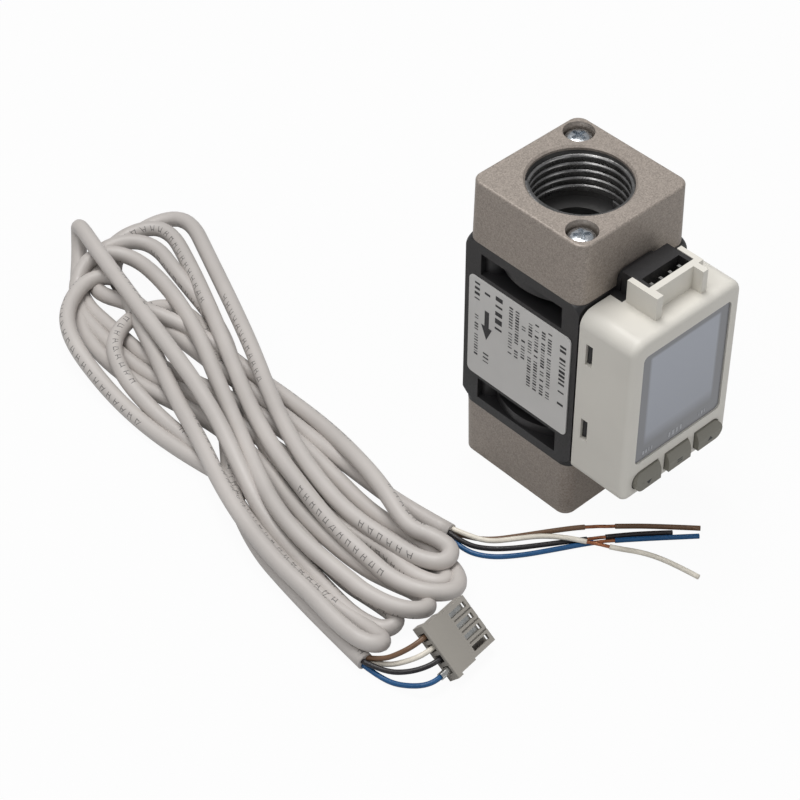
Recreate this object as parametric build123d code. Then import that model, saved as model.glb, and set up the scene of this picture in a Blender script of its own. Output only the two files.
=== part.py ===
from build123d import *
import math
import os

# Digital flow switch for air, with its unplugged lead lying beside it.
# Millimetres. The origin is the centre of the outlet port's face, which the part stands on.
# +Z runs up the flow axis to the inlet, the display faces -Y and the name plate is on -X.

# Port blocks, two equal castings
block_side = 30.0
block_port_side = 29.44
block_height = 14.0
block_corner_radius = 2.8
block_rim_radius = 0.5
port_floor = 2.0

# Female pipe thread G1/2, modelled at its major diameter
thread_diameter = 20.955
thread_lead_in = 0.4

# Flow passage and the restrictor that is pressed into it
passage_diameter = 13.5
restrictor_bore = 10.5
restrictor_mouth = 12.4
restrictor_length = 9.0

# Screws, two through each block on opposite corners
screw_inset = 4.3
screw_diameter = 3.0
screw_length = 15.8
screw_head_diameter = 5.0
screw_head_height = 2.0
screw_cross_width = 0.7
screw_cross_span = 2.8
screw_cross_depth = 1.1
screw_shoulder_share = 0.72
screw_shoulder_drop = 0.26
counterbore_diameter = 6.4
counterbore_depth = 4.2
screw_block_clearance = 0.2
screw_body_clearance = 0.05
screw_tip_clearance = 0.5

# Seals between the blocks and the body
seal_inner_diameter = 16.0
seal_width = 1.7
seal_height = 1.2
seal_edge_radius = 0.45
seal_side_clearance = 0.15

# Moulded sensor body
body_depth_over_block = 0.2
body_height = 42.0
top_flare_height = 2.2
top_flare_bulge = 0.7
top_flare_bulge_level = 1.3
foot_taper_height = 1.7
foot_straight_height = 0.9
recess_end = 4.25
recess_height = 5.1
recess_edge = 2.3
recess_web = 12.0
flange_inset = 0.4
flange_thickness = 4.5
barrel_diameter = 21.0
boss_diameter = 5.8

# Pocket for the flow sensor, open to the front, and its bypass holes
pocket_width = 18.0
pocket_height = 20.0
pocket_depth = 3.6
bypass_diameter = 2.0
bypass_spacing = 14.0
gasket_thickness = 1.0
gasket_width = 12.0
gasket_height = 18.6
gasket_slot_width = 5.0
gasket_slot_height = 16.6
sensor_board_width = 17.0
sensor_board_height = 19.0
sensor_board_thickness = 1.0
chip_side = 3.0
chip_height = 0.6

# Name plate on the left side
plate_margin = 1.4
plate_height = 25.1
plate_thickness = 0.25
plate_corner_radius = 1.2

# Display housing, open at the back
display_height = 40.6
display_depth = 13.9
display_gap = 0.4
display_wall = 1.4
display_front_wall = 1.6
display_top_radius = 3.0
display_bottom_radius = 2.0
display_front_radius = 1.5

# Window opening, its ledge and its pane
window_side_margin = 2.8
window_height = 27.9
window_rise = 2.45
window_corner_radius = 1.2
pane_recess = 0.35
pane_thickness = 1.2
pane_clearance = 0.1
ledge_width = 1.2
ledge_thickness = 0.8

# Display glass and the backlight behind it
glass_side_margin = 1.8
glass_height = 24.3
glass_thickness = 1.85
backlight_margin = 0.1

# Main circuit board
board_depth = 8.0
board_thickness = 1.2
board_edge_gap = 0.5
board_top_gap = 1.3
pillar_diameter = 3.0
pillar_side_inset = 2.3
pillar_bottom_inset = 3.7
pillar_top_inset = 1.6

# Push buttons
button_height = 4.1
button_drop = 16.15
middle_button_width = 6.4
button_side_margin = 2.6
button_spacing = 2.2
outer_button_radius = 1.9
button_foot_proud = 1.25
button_mid_proud = 1.1
button_head_proud = 0.4
button_clearance = 0.2
button_flange_margin = 0.55
button_flange_side_margin = 0.9
button_flange_thickness = 0.8
button_rest_clearance = 0.05
button_travel = 0.4
stem_diameter = 2.4
switch_width = 4.2
switch_length = 3.2
switch_height = 1.8
plunger_diameter = 2.0
plunger_height = 0.5

# Snap hooks of the body and their slots in the display housing
slot_height = 5.2
slot_width = 1.75
slot_setback = 1.85
slot_low_drop = 7.8
slot_high_rise = 11.4
hook_thickness = 1.2
hook_side_clearance = 0.2
hook_slot_clearance = 0.1
hook_catch = 1.0
hook_catch_flat = 0.45
hook_height = 4.8

# Pads that the display housing's rim stands on
pad_width = 1.0
pad_height = 3.0
pad_spread = 31.0

# Connector on top of the display housing
connector_centre = 1.05
connector_width = 12.3
connector_setback = 4.9
connector_rise = 5.3
connector_front_wall = 1.4
connector_left_wall = 1.3
connector_right_wall = 1.2
connector_wall_back = 3.4
left_wall_nose = 1.9
left_nose_step = 0.4
right_post_depth = 2.5
right_post_width = 1.4
right_post_inset = 0.2
shroud_drop = 0.2
shroud_wall = 1.0
shroud_floor = 1.4
cavity_depth = 2.8
contact_pitch = 2.54
contact_count = 4
pin_side = 0.64
pin_tip_drop = 1.0
pin_tail = 2.3

# Bridge and arched wall of the body behind the connector
bridge_width = 15.2
bridge_centre = 0.7
bridge_depth = 3.3
bridge_height = 3.8
bridge_clearance = 0.1
arch_width = 10.5
arch_centre = 0.25
arch_rise = 3.5
arch_thickness = 1.0
arch_corner_radius = 2.0
arch_clearance = 0.3

# Lead: sheath, core wires and the smallest gap to the floor
sheath_diameter = 3.5
core_diameter = 1.05
floor_gap = 0.05
corner_share = 0.45

# Hank of the lead, a loose bundle of seven loops in three layers
hank_height = 11.0
hank_edge_radius = 2.0
hank_outline = [
    (-9.3, 108.0), (-13.5, 97.0), (-23.8, 73.6), (-31.2, 50.0), (-34.0, 28.0), (-35.8, 7.0),
    (-40.0, -7.5), (-47.0, -16.5), (-57.0, -18.2), (-66.5, -15.5), (-69.2, 2.0), (-66.8, 30.0),
    (-66.8, 64.0), (-63.2, 86.0), (-55.0, 102.5), (-43.0, 114.5), (-32.0, 117.0), (-16.0, 115.0),
]

# Free end of the lead, from the hank to where the sheath is stripped
free_end_route = [(-37.8, 20.0, 1.8), (-37.5, 8.5, 1.8), (-35.6, -3.0, 1.8)]

# Plug end of the lead, from the hank to where the sheath is stripped
plug_end_route = [(-66.6, 20.5, 1.8), (-68.5, 8.5, 1.8), (-69.9, -4.0, 1.8), (-70.9, -16.4, 1.8)]

# Core wires at the free end, from the sheath to their tips
free_core_routes = {
    "white": [
        (-35.1, -2.5, 2.36), (-33.9, -6.5, 2.2), (-31.7, -10.2, 1.8), (-27.5, -13.0, 1.75),
        (-23.1, -15.9, 1.75), (-19.8, -19.6, 1.75), (-17.1, -24.0, 1.72), (-14.0, -28.4, 1.1),
        (-10.6, -32.4, 0.6), (-8.6, -38.0, 0.6), (-7.6, -44.3, 0.6),
    ],
    "brown": [
        (-35.0, -2.7, 1.23), (-33.1, -6.2, 0.8), (-30.2, -9.3, 0.6), (-26.0, -12.0, 0.6),
        (-20.5, -15.3, 0.6), (-14.2, -19.3, 0.6), (-9.0, -24.0, 0.6), (-4.1, -28.5, 0.6),
        (2.6, -35.6, 0.6),
    ],
    "black": [
        (-36.2, -2.8, 2.36), (-35.5, -6.9, 1.35), (-32.9, -10.3, 0.65), (-29.2, -13.6, 0.6),
        (-23.2, -17.6, 0.6), (-17.0, -21.6, 0.6), (-11.6, -25.3, 0.6), (-6.6, -29.0, 0.6),
        (-2.4, -32.6, 0.6),
    ],
    "blue": [
        (-36.1, -2.9, 1.23), (-36.5, -7.2, 0.62), (-34.2, -12.2, 0.6), (-29.2, -16.2, 0.6),
        (-23.2, -19.6, 0.6), (-15.9, -23.6, 0.6), (-12.0, -26.5, 0.6), (-6.7, -30.7, 0.6),
        (0.8, -36.9, 0.6),
    ],
}

# Plug, lying on its lower side and leaning back on the hank
plug_corner = (-61.5, -29.9, 0.05)
plug_turn = 6.7
plug_lean = 40.0
plug_flange_width = 12.2
plug_flange_length = 1.4
plug_body_width = 11.3
plug_body_length = 4.1
plug_nose_width = 10.6
plug_nose_length = 6.1
plug_thickness = 3.4
plug_edge_radius = 0.25
plug_channel_width = 1.7
plug_channel_height = 1.9
plug_window_width = 1.15
plug_window_length = 4.4
plug_window_setback = 0.9
plug_groove_width = 0.35
plug_groove_depth = 0.3
plug_groove_length = 5.2
terminal_side = 1.5
terminal_bore = 0.8
terminal_length = 6.2
terminal_back_wall = 1.0
terminal_setback = 1.2
crimp_diameter = 1.5
crimp_length = 2.8
last_terminal_pulled = 3.4
crimp_straight = 2.8

# Core wires at the plug end, from the sheath to short of the straight stretch into their crimps
plug_core_routes = {
    "brown": [(-70.4, -16.2, 2.36), (-69.2, -19.2, 3.3), (-66.9, -22.0, 5.8)],
    "white": [(-70.3, -16.2, 1.2), (-68.9, -20.0, 2.1), (-66.8, -23.4, 4.4)],
    "black": [(-71.5, -16.2, 2.36), (-70.4, -20.8, 2.2), (-67.6, -25.0, 3.3)],
    "blue": [(-71.4, -16.2, 1.2), (-71.0, -20.6, 0.8), (-69.8, -25.0, 1.2)],
}

# Widths that follow the port blocks
body_width = block_side
body_depth = block_side + body_depth_over_block
recess_width = body_depth - 2 * recess_end
flange_diameter = body_width - 2 * flange_inset
plate_width = body_depth - 2 * plate_margin
display_width = body_width
window_width = display_width - 2 * window_side_margin
glass_width = window_width - 2 * glass_side_margin
button_row_end = display_width / 2 - button_side_margin
outer_button_width = button_row_end - button_spacing - middle_button_width / 2

# Levels along the flow axis
low_parting = block_height
high_parting = low_parting + body_height
middle = low_parting + body_height / 2

# Planes from the body's front to the display's front, all negative because the display faces -Y
body_front = -body_depth / 2
display_back = body_front - display_gap
display_front = display_back - display_depth
wall_inside = display_front + display_front_wall
pane_back = display_front + pane_recess + pane_thickness
glass_back = pane_back + glass_thickness
board_front = display_front + board_depth
board_back = board_front + board_thickness

# Levels of the display housing and its board
display_bottom = middle - display_height / 2
display_top = middle + display_height / 2
board_low = display_bottom + display_wall + board_edge_gap
board_high = display_top - display_wall - board_top_gap
board_width = display_width - 2 * (display_wall + board_edge_gap)
window_level = middle + window_rise
button_level = middle - button_drop
outer_button_centre = middle_button_width / 2 + button_spacing + outer_button_width / 2

# Places of the connector
connector_low_x = connector_centre - connector_width / 2
connector_high_x = connector_centre + connector_width / 2
connector_outer_front = display_front + connector_setback
connector_inner_front = connector_outer_front + connector_front_wall
connector_wall_end = display_back - connector_wall_back
connector_top = display_top + connector_rise
shroud_top = connector_top - shroud_drop
shroud_back = body_front - arch_thickness - arch_clearance
bridge_front = body_front - bridge_depth

# Corners that take a block's screws, in the block's own frame
screw_reach = block_side / 2 - screw_inset
screw_corners = [(-screw_reach, -screw_reach), (screw_reach, screw_reach)]
screw_seat = block_height - counterbore_depth
screw_body_depth = screw_length - screw_seat


def write(shape, name):
    export_step(shape, f"parts/{name}.step")


def box(x_range, y_range, z_range):
    low = (x_range[0], y_range[0], z_range[0])
    size = (x_range[1] - x_range[0], y_range[1] - y_range[0], z_range[1] - z_range[0])
    return Pos(*low) * Box(*size, align=Align.MIN)


def rod(diameter, low, high):
    return Pos(0, 0, low) * Cylinder(diameter / 2, high - low, align=(Align.CENTER, Align.CENTER, Align.MIN))


def slab(sketch, back, front):
    # A sketch of X and Z, thickened along Y from its back plane to its front plane
    return extrude(Plane.XZ.offset(-back) * sketch, amount=back - front)


def turned_part(*corners):
    # A solid of revolution about Z from corners given as radius and height
    return revolve(Plane.XZ * make_face(Polyline(*corners, close=True)), Axis.Z)


def place_block(shape, upper):
    # Blocks and screws are drawn with the parting face at z 0 and the port facing up
    if upper:
        return Pos(0, 0, high_parting) * shape
    return Pos(0, 0, low_parting) * Rot(180, 0, 0) * shape


# Port block
def port_block():
    draft = math.degrees(math.atan((block_side - block_port_side) / 2 / block_height))
    outline = RectangleRounded(block_side, block_side, block_corner_radius)
    block = extrude(outline, block_height, taper=draft)
    block = fillet(block.edges().group_by(Axis.Z)[-1], block_rim_radius)
    block -= rod(thread_diameter, port_floor, block_height)
    block -= rod(passage_diameter, 0, port_floor)
    mouth = thread_diameter / 2 + thread_lead_in
    block -= turned_part(
        (0, block_height - thread_lead_in),
        (thread_diameter / 2, block_height - thread_lead_in),
        (mouth, block_height),
        (0, block_height),
    )
    for corner in screw_corners:
        block -= Pos(*corner) * rod(screw_diameter + 2 * screw_block_clearance, 0, screw_seat)
        block -= Pos(*corner) * rod(counterbore_diameter, screw_seat, block_height)
    return block


# Screw with a domed head and a cross recess
def block_screw():
    head_top = screw_seat + screw_head_height
    head_side = screw_seat + screw_head_height / 2
    head_radius = screw_head_diameter / 2
    shoulder = screw_shoulder_share * head_radius
    crown = make_face(
        Polyline((0, head_top), (0, screw_seat), (head_radius, screw_seat), (head_radius, head_side))
        + ThreePointArc((head_radius, head_side), (shoulder, head_top - screw_shoulder_drop), (0, head_top))
    )
    screw = revolve(Plane.XZ * crown, Axis.Z)
    screw += rod(screw_diameter, screw_seat - screw_length, screw_seat)
    for turn in (0, 90):
        screw -= Pos(0, 0, head_top) * Rot(0, 0, turn) * Box(
            screw_cross_span, screw_cross_width, 2 * screw_cross_depth
        )
    return screw


# Seal ring, lying in the body's groove and flattened by the block
def port_seal():
    centre_radius = (seal_inner_diameter + seal_width) / 2
    section = RectangleRounded(seal_width, seal_height, seal_edge_radius)
    return revolve(Plane.XZ * Pos(centre_radius, seal_height / 2) * section, Axis.Z)


def seal_groove():
    inner = seal_inner_diameter / 2 - seal_side_clearance
    outer = seal_inner_diameter / 2 + seal_width + seal_side_clearance
    return turned_part((inner, 0), (outer, 0), (outer, seal_height), (inner, seal_height))


# Restrictor sleeve with a bore that narrows smoothly to its middle
def flow_restrictor():
    half = restrictor_length / 2
    bore = restrictor_bore / 2
    mouth = restrictor_mouth / 2
    outside = passage_diameter / 2
    section = make_face(
        Polyline((mouth, half), (outside, half), (outside, -half), (mouth, -half))
        + ThreePointArc((mouth, -half), (bore, 0), (mouth, half))
    )
    return Pos(0, 0, middle) * revolve(Plane.XZ * section, Axis.Z)


# Body corner between the block's rounded corner and the body's sharp one
def corner_relief(profile, height):
    kept = revolve(Plane.XZ * profile, Axis.Z)
    reach = 2 * block_corner_radius
    return box((0, reach), (0, reach), (0, height)) - kept


def top_flare():
    # Convex, from the sharp corner at its foot to the block's corner at its top
    sharp = block_corner_radius * math.sqrt(2)
    bulge = block_corner_radius + top_flare_bulge * (sharp - block_corner_radius)
    profile = make_face(
        Polyline((block_corner_radius, top_flare_height), (0, top_flare_height), (0, 0), (sharp, 0))
        + ThreePointArc((sharp, 0), (bulge, top_flare_bulge_level), (block_corner_radius, top_flare_height))
    )
    return corner_relief(profile, top_flare_height)


def foot_taper():
    sharp = block_corner_radius * math.sqrt(2)
    height = foot_straight_height + foot_taper_height
    profile = make_face(
        Polyline(
            (0, 0), (block_corner_radius, 0), (block_corner_radius, foot_straight_height),
            (sharp, height), (0, height), close=True,
        )
    )
    return corner_relief(profile, height)


def at_body_corners(relief, level):
    # A relief is drawn for the +X +Y corner with its centre on the corner's centre
    cuts = []
    reach_x = body_width / 2 - block_corner_radius
    reach_y = body_depth / 2 - block_corner_radius
    right = Pos(reach_x, reach_y, level) * relief
    left = mirror(right, Plane.YZ)
    for cut in (right, left):
        cuts.append(cut)
        cuts.append(mirror(cut, Plane.XZ))
    return cuts


def side_recesses():
    # Recesses at both ends of both sides, with the round flanges, the barrel and the bosses left standing
    cores = rod(flange_diameter, low_parting, low_parting + flange_thickness)
    cores += rod(flange_diameter, high_parting - flange_thickness, high_parting)
    cores += rod(barrel_diameter, low_parting, high_parting)
    for x in (-screw_reach, screw_reach):
        for y in (-screw_reach, screw_reach):
            cores += Pos(x, y) * rod(boss_diameter, low_parting, high_parting)
    across = (-recess_width / 2, recess_width / 2)
    near = low_parting + recess_edge
    far = high_parting - recess_edge
    recesses = []
    for levels in ((near, near + recess_height), (far - recess_height, far)):
        for side in (-1, 1):
            reach = sorted((side * recess_web / 2, side * body_width))
            recesses.append(box(reach, across, levels) - cores)
    return recesses


def sensor_pocket():
    floor = body_front + pocket_depth
    pocket = box(
        (-pocket_width / 2, pocket_width / 2),
        (body_front, floor),
        (middle - pocket_height / 2, middle + pocket_height / 2),
    )
    for level in (middle - bypass_spacing / 2, middle + bypass_spacing / 2):
        pocket += slab(Pos(0, level) * Circle(bypass_diameter / 2), 0, floor)
    return pocket


def snap_hook(side, level):
    # One hook, drawn from above for the +X side
    face = display_width / 2 - display_wall - hook_side_clearance
    catch_back = display_back - slot_setback - hook_slot_clearance
    tip = display_back - slot_setback - slot_width + hook_slot_clearance
    outline = Polyline(
        (face - hook_thickness, body_front),
        (face, body_front),
        (face, catch_back),
        (face + hook_catch, catch_back),
        (face + hook_catch, catch_back - hook_catch_flat),
        (face, tip),
        (face - hook_thickness, tip),
        close=True,
    )
    hook = Pos(0, 0, level - hook_height / 2) * extrude(make_face(outline), hook_height)
    return hook if side > 0 else mirror(hook, Plane.YZ)


def body_front_features():
    # Pillars for the main board, pads for the display's rim, hooks, the bridge and the arched wall
    features = []
    pillar_x = board_width / 2 - pillar_side_inset
    for x in (-pillar_x, pillar_x):
        for level in (board_low + pillar_bottom_inset, board_high - pillar_top_inset):
            features.append(slab(Pos(x, level) * Circle(pillar_diameter / 2), body_front, board_back))
    pad_x = display_width / 2 - display_wall / 2
    for x in (-pad_x, pad_x):
        for level in (middle - pad_spread / 2, middle + pad_spread / 2):
            features.append(slab(Pos(x, level) * Rectangle(pad_width, pad_height), body_front, display_back))
    for side in (-1, 1):
        for level in (middle - slot_low_drop, middle + slot_high_rise):
            features.append(snap_hook(side, level))
    features.append(
        box(
            (bridge_centre - bridge_width / 2, bridge_centre + bridge_width / 2),
            (bridge_front, body_front),
            (display_top - bridge_height, display_top),
        )
    )
    arch_top = high_parting + arch_rise
    arch_low = display_top - bridge_height
    arch = Rectangle(arch_width, arch_top - arch_low)
    arch = fillet(arch.vertices().group_by(Axis.Y)[-1], arch_corner_radius)
    arch = Pos(arch_centre, (arch_top + arch_low) / 2) * arch
    features.append(slab(arch, body_front, body_front - arch_thickness))
    return features


def sensor_body():
    body = box(
        (-body_width / 2, body_width / 2),
        (-body_depth / 2, body_depth / 2),
        (low_parting, high_parting),
    )
    for cut in at_body_corners(top_flare(), high_parting - top_flare_height):
        body -= cut
    for cut in at_body_corners(foot_taper(), low_parting):
        body -= cut
    for cut in side_recesses():
        body -= cut
    for feature in body_front_features():
        body += feature
    body -= rod(passage_diameter, low_parting, high_parting)
    body -= sensor_pocket()
    for upper in (True, False):
        hole_depth = screw_body_depth + screw_tip_clearance
        for corner in screw_corners:
            hole = Pos(*corner) * rod(screw_diameter + 2 * screw_body_clearance, -hole_depth, 0)
            body -= place_block(hole, upper)
    body -= Pos(0, 0, low_parting) * seal_groove()
    body -= Pos(0, 0, high_parting - seal_height) * seal_groove()
    return body


# Name plate on the body's left side
def name_plate():
    outline = RectangleRounded(plate_width, plate_height, plate_corner_radius)
    side = Plane(origin=(-body_width / 2, 0, middle), x_dir=(0, -1, 0), z_dir=(-1, 0, 0))
    return extrude(side * outline, plate_thickness)


# Flow sensor in the body's pocket
def sensor_gasket():
    floor = body_front + pocket_depth
    ring = Rectangle(gasket_width, gasket_height) - Rectangle(gasket_slot_width, gasket_slot_height)
    return slab(Pos(0, middle) * ring, floor, floor - gasket_thickness)


def sensor_circuit_board():
    back = body_front + pocket_depth - gasket_thickness
    outline = Pos(0, middle) * Rectangle(sensor_board_width, sensor_board_height)
    return slab(outline, back, back - sensor_board_thickness)


def flow_sensing_chip():
    seat = body_front + pocket_depth - gasket_thickness
    return slab(Pos(0, middle) * Rectangle(chip_side, chip_side), seat + chip_height, seat)


# Outlines of the buttons, shared by their holes and flanges
def button_outline(position, margin_x, margin_z, rounded):
    height = button_height + 2 * margin_z
    if position == 0:
        return Pos(0, button_level) * Rectangle(middle_button_width + 2 * margin_x, height)
    outline = Rectangle(outer_button_width + 2 * margin_x, height)
    if rounded:
        outer_corners = outline.vertices().group_by(Axis.X)[-1 if position > 0 else 0]
        outline = fillet(outer_corners, outer_button_radius + margin_x)
    return Pos(position * outer_button_centre, button_level) * outline


# Display housing: hollow front, window ledge, button holes, snap slots and connector walls
def display_outline(shrink):
    outline = Rectangle(display_width - 2 * shrink, display_height - 2 * shrink)
    low_corners = outline.vertices().group_by(Axis.Y)[0]
    outline = fillet(low_corners, display_bottom_radius - shrink)
    high_corners = outline.vertices().group_by(Axis.Y)[-1]
    outline = fillet(high_corners, display_top_radius - shrink)
    return Pos(0, middle) * outline


def connector_walls():
    levels = (display_top - display_wall / 2, connector_top)
    left_outer = connector_low_x - connector_left_wall
    nose_front = connector_outer_front - left_wall_nose
    post_high = connector_high_x - right_post_inset
    return [
        box((left_outer, connector_low_x), (nose_front, connector_wall_end), levels),
        box((left_outer, connector_low_x + left_nose_step), (nose_front, connector_outer_front), levels),
        box((connector_low_x, connector_high_x), (connector_outer_front, connector_inner_front), levels),
        box(
            (connector_high_x, connector_high_x + connector_right_wall),
            (connector_outer_front, connector_wall_end),
            levels,
        ),
        box(
            (post_high - right_post_width, post_high),
            (connector_outer_front - right_post_depth, connector_outer_front),
            levels,
        ),
    ]


def top_openings():
    # Through the top wall, for the shroud's foot and for the body's bridge
    levels = (display_top - 2 * display_wall, display_top)
    half = bridge_width / 2 + bridge_clearance
    return [
        box((connector_low_x, connector_high_x), (connector_inner_front, display_back), levels),
        box(
            (bridge_centre - half, bridge_centre + half),
            (bridge_front - bridge_clearance, display_back),
            levels,
        ),
    ]


def display_housing():
    housing = slab(display_outline(0), display_back, display_front)
    housing = fillet(housing.faces().sort_by(Axis.Y)[0].edges(), display_front_radius)
    housing -= slab(display_outline(display_wall), display_back, wall_inside)
    rim = Rectangle(window_width + 2 * ledge_width, window_height + 2 * ledge_width)
    housing += slab(Pos(0, window_level) * rim, pane_back + ledge_thickness, wall_inside)
    window = RectangleRounded(window_width, window_height, window_corner_radius)
    housing -= slab(Pos(0, window_level) * window, pane_back, display_front)
    opening = Rectangle(window_width - 2 * ledge_width, window_height - 2 * ledge_width)
    housing -= slab(Pos(0, window_level) * opening, pane_back + ledge_thickness, pane_back)
    for position in (-1, 0, 1):
        hole = button_outline(position, button_clearance, button_clearance, True)
        housing -= slab(hole, wall_inside, display_front)
    slot_back = display_back - slot_setback
    for side in (-1, 1):
        for level in (middle - slot_low_drop, middle + slot_high_rise):
            across = sorted((side * (display_width / 2 - 2 * display_wall), side * display_width))
            levels = (level - slot_height / 2, level + slot_height / 2)
            housing -= box(across, (slot_back - slot_width, slot_back), levels)
    for wall in connector_walls():
        housing += wall
    for opening in top_openings():
        housing -= opening
    return housing


# Window pane, display glass and backlight, stacked from the front
def display_window():
    outline = RectangleRounded(
        window_width - 2 * pane_clearance,
        window_height - 2 * pane_clearance,
        window_corner_radius - pane_clearance,
    )
    return slab(Pos(0, window_level) * outline, pane_back, display_front + pane_recess)


def display_glass():
    return slab(Pos(0, window_level) * Rectangle(glass_width, glass_height), glass_back, pane_back)


def backlight():
    outline = Rectangle(glass_width + 2 * backlight_margin, glass_height + 2 * backlight_margin)
    return slab(Pos(0, window_level) * outline, board_front, glass_back)


# Main circuit board with its three tactile switches
def main_circuit_board():
    outline = Rectangle(board_width, board_high - board_low)
    return slab(Pos(0, (board_high + board_low) / 2) * outline, board_back, board_front)


def tactile_switch(position):
    spot = Pos(position * outer_button_centre, button_level)
    case_front = board_front - switch_height
    case = slab(spot * Rectangle(switch_width, switch_length), board_front, case_front)
    return case + slab(spot * Circle(plunger_diameter / 2), case_front, case_front - plunger_height)


# Push button: a cap that slopes out to its foot, a flange behind the wall and a stem
def push_button(position):
    flange_front = wall_inside + button_rest_clearance
    flange_back = flange_front + button_flange_thickness
    foot = display_front - button_foot_proud
    cap = slab(button_outline(position, 0, 0, True), flange_back, foot)
    low = button_level - button_height / 2
    high = button_level + button_height / 2
    head = display_front - button_head_proud
    bulge = (display_front - button_mid_proud, (low + 2 * high) / 3)
    side = make_face(
        Polyline((head, high), (flange_back, high), (flange_back, low), (foot, low))
        + ThreePointArc((foot, low), bulge, (head, high))
    )
    cap &= extrude(Plane.YZ * side, display_width / 2, both=True)
    flange = button_outline(position, button_flange_side_margin, button_flange_margin, False)
    stem_end = board_front - switch_height - plunger_height - button_travel - button_rest_clearance
    stem = Pos(position * outer_button_centre, button_level) * Circle(stem_diameter / 2)
    return cap + slab(flange, flange_back, flange_front) + slab(stem, stem_end, flange_back)


# Connector shroud with its row of contact pins
def pin_centres():
    first = connector_centre - contact_pitch * (contact_count - 1) / 2
    return [first + contact_pitch * number for number in range(contact_count)]


def contact_pin(centre):
    return box(
        (centre - pin_side / 2, centre + pin_side / 2),
        (board_front - pin_side, board_front),
        (board_high - pin_tail, shroud_top - pin_tip_drop),
    )


def connector_shroud():
    across = (connector_low_x, connector_high_x)
    foot_back = bridge_front - bridge_clearance
    shroud = box(across, (connector_inner_front, foot_back), (board_high, display_top))
    shroud += box(across, (connector_inner_front, shroud_back), (display_top, shroud_top))
    shroud -= box(
        (connector_low_x + shroud_wall, connector_high_x - shroud_wall),
        (connector_inner_front, connector_inner_front + cavity_depth),
        (board_high + shroud_floor, shroud_top),
    )
    for centre in pin_centres():
        shroud -= contact_pin(centre)
    return shroud


# Lead
def corner_radii(points):
    radii = []
    for before, corner, after in zip(points, points[1:], points[2:]):
        arriving = Vector(*corner) - Vector(*before)
        leaving = Vector(*after) - Vector(*corner)
        half_turn = math.radians(arriving.get_angle(leaving)) / 2
        run = min(arriving.length, leaving.length)
        radii.append(corner_share * run / math.tan(half_turn))
    return radii


def cord_tube(name, points, diameter):
    radii = corner_radii(points)
    path = FilletPolyline(*points, radius=radii)
    section = Plane(origin=path @ 0, z_dir=path % 0) * Circle(diameter / 2)
    tube = sweep(section, path=path)
    section_area = math.pi * diameter**2 / 4
    share = tube.volume / (section_area * path.length)
    smallest = min(radii) / diameter
    print(f"{name}: length {path.length:.1f}, smallest radius {smallest:.1f} diameters, volume {share:.4f}")
    print("   radii " + ", ".join(f"{radius:.1f}" for radius in radii))
    return tube


def cable_hank():
    outline = make_face(Spline(*hank_outline, periodic=True))
    hank = extrude(Pos(0, 0, floor_gap) * outline, hank_height)
    return fillet(hank.edges().group_by(Axis.Z)[-1], hank_edge_radius)


# Plug, in its own frame: X from the wires to the nose, Y across from the lower side, Z through it
plug_plane = Plane(
    origin=plug_corner,
    x_dir=(math.cos(math.radians(plug_turn)), math.sin(math.radians(plug_turn)), 0),
    z_dir=(
        math.sin(math.radians(plug_lean)) * math.sin(math.radians(plug_turn)),
        -math.sin(math.radians(plug_lean)) * math.cos(math.radians(plug_turn)),
        math.cos(math.radians(plug_lean)),
    ),
)
plug_length = plug_flange_length + plug_body_length + plug_nose_length
plug_middle = plug_flange_width / 2


def terminal_rows():
    # From the lower side up: blue, black, white, brown
    first = plug_middle - contact_pitch * (contact_count - 1) / 2
    return [first + contact_pitch * number for number in range(contact_count)]


def across_plug(width, length_range, levels):
    return box(length_range, (plug_middle - width / 2, plug_middle + width / 2), levels)


def plug_housing():
    levels = (0, plug_thickness)
    body_end = plug_flange_length + plug_body_length
    plug = across_plug(plug_flange_width, (0, plug_flange_length), levels)
    plug += across_plug(plug_body_width, (plug_flange_length, body_end), levels)
    plug += across_plug(plug_nose_width, (body_end, plug_length), levels)
    plug = fillet(plug.edges().filter_by(Axis.Y).group_by(Axis.Z)[-1], plug_edge_radius)
    window_end = plug_length - plug_window_setback
    half_channel = plug_channel_height / 2
    for row in terminal_rows():
        plug -= box(
            (0, plug_length),
            (row - plug_channel_width / 2, row + plug_channel_width / 2),
            (plug_thickness / 2 - half_channel, plug_thickness / 2 + half_channel),
        )
        plug -= box(
            (window_end - plug_window_length, window_end),
            (row - plug_window_width / 2, row + plug_window_width / 2),
            (plug_thickness / 2, plug_thickness),
        )
    for row in terminal_rows()[1:]:
        groove = row - contact_pitch / 2
        plug -= box(
            (plug_length - plug_groove_length, plug_length),
            (groove - plug_groove_width / 2, groove + plug_groove_width / 2),
            (plug_thickness - plug_groove_depth, plug_thickness),
        )
    return plug_plane * plug


def plug_terminal(row, pulled):
    # Square spring box with a bore for the pin, and a round crimp behind it
    start = terminal_setback - pulled
    crimp_end = start + crimp_length
    level = plug_thickness / 2
    crimp = Plane(origin=(start, row, level), z_dir=(1, 0, 0)) * Circle(crimp_diameter / 2)
    terminal = extrude(crimp, crimp_length)
    half = terminal_side / 2
    terminal += box(
        (crimp_end, crimp_end + terminal_length), (row - half, row + half), (level - half, level + half)
    )
    bore = terminal_bore / 2
    bore_range = (crimp_end + terminal_back_wall, crimp_end + terminal_length)
    terminal -= box(bore_range, (row - bore, row + bore), (level - bore, level + bore))
    return plug_plane * terminal


def crimp_entry(row, pulled, back):
    # A point on the terminal's axis, this far behind the crimp's mouth
    spot = plug_plane.from_local_coords((terminal_setback - pulled - back, row, plug_thickness / 2))
    return (spot.X, spot.Y, spot.Z)


os.makedirs("parts", exist_ok=True)

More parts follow.
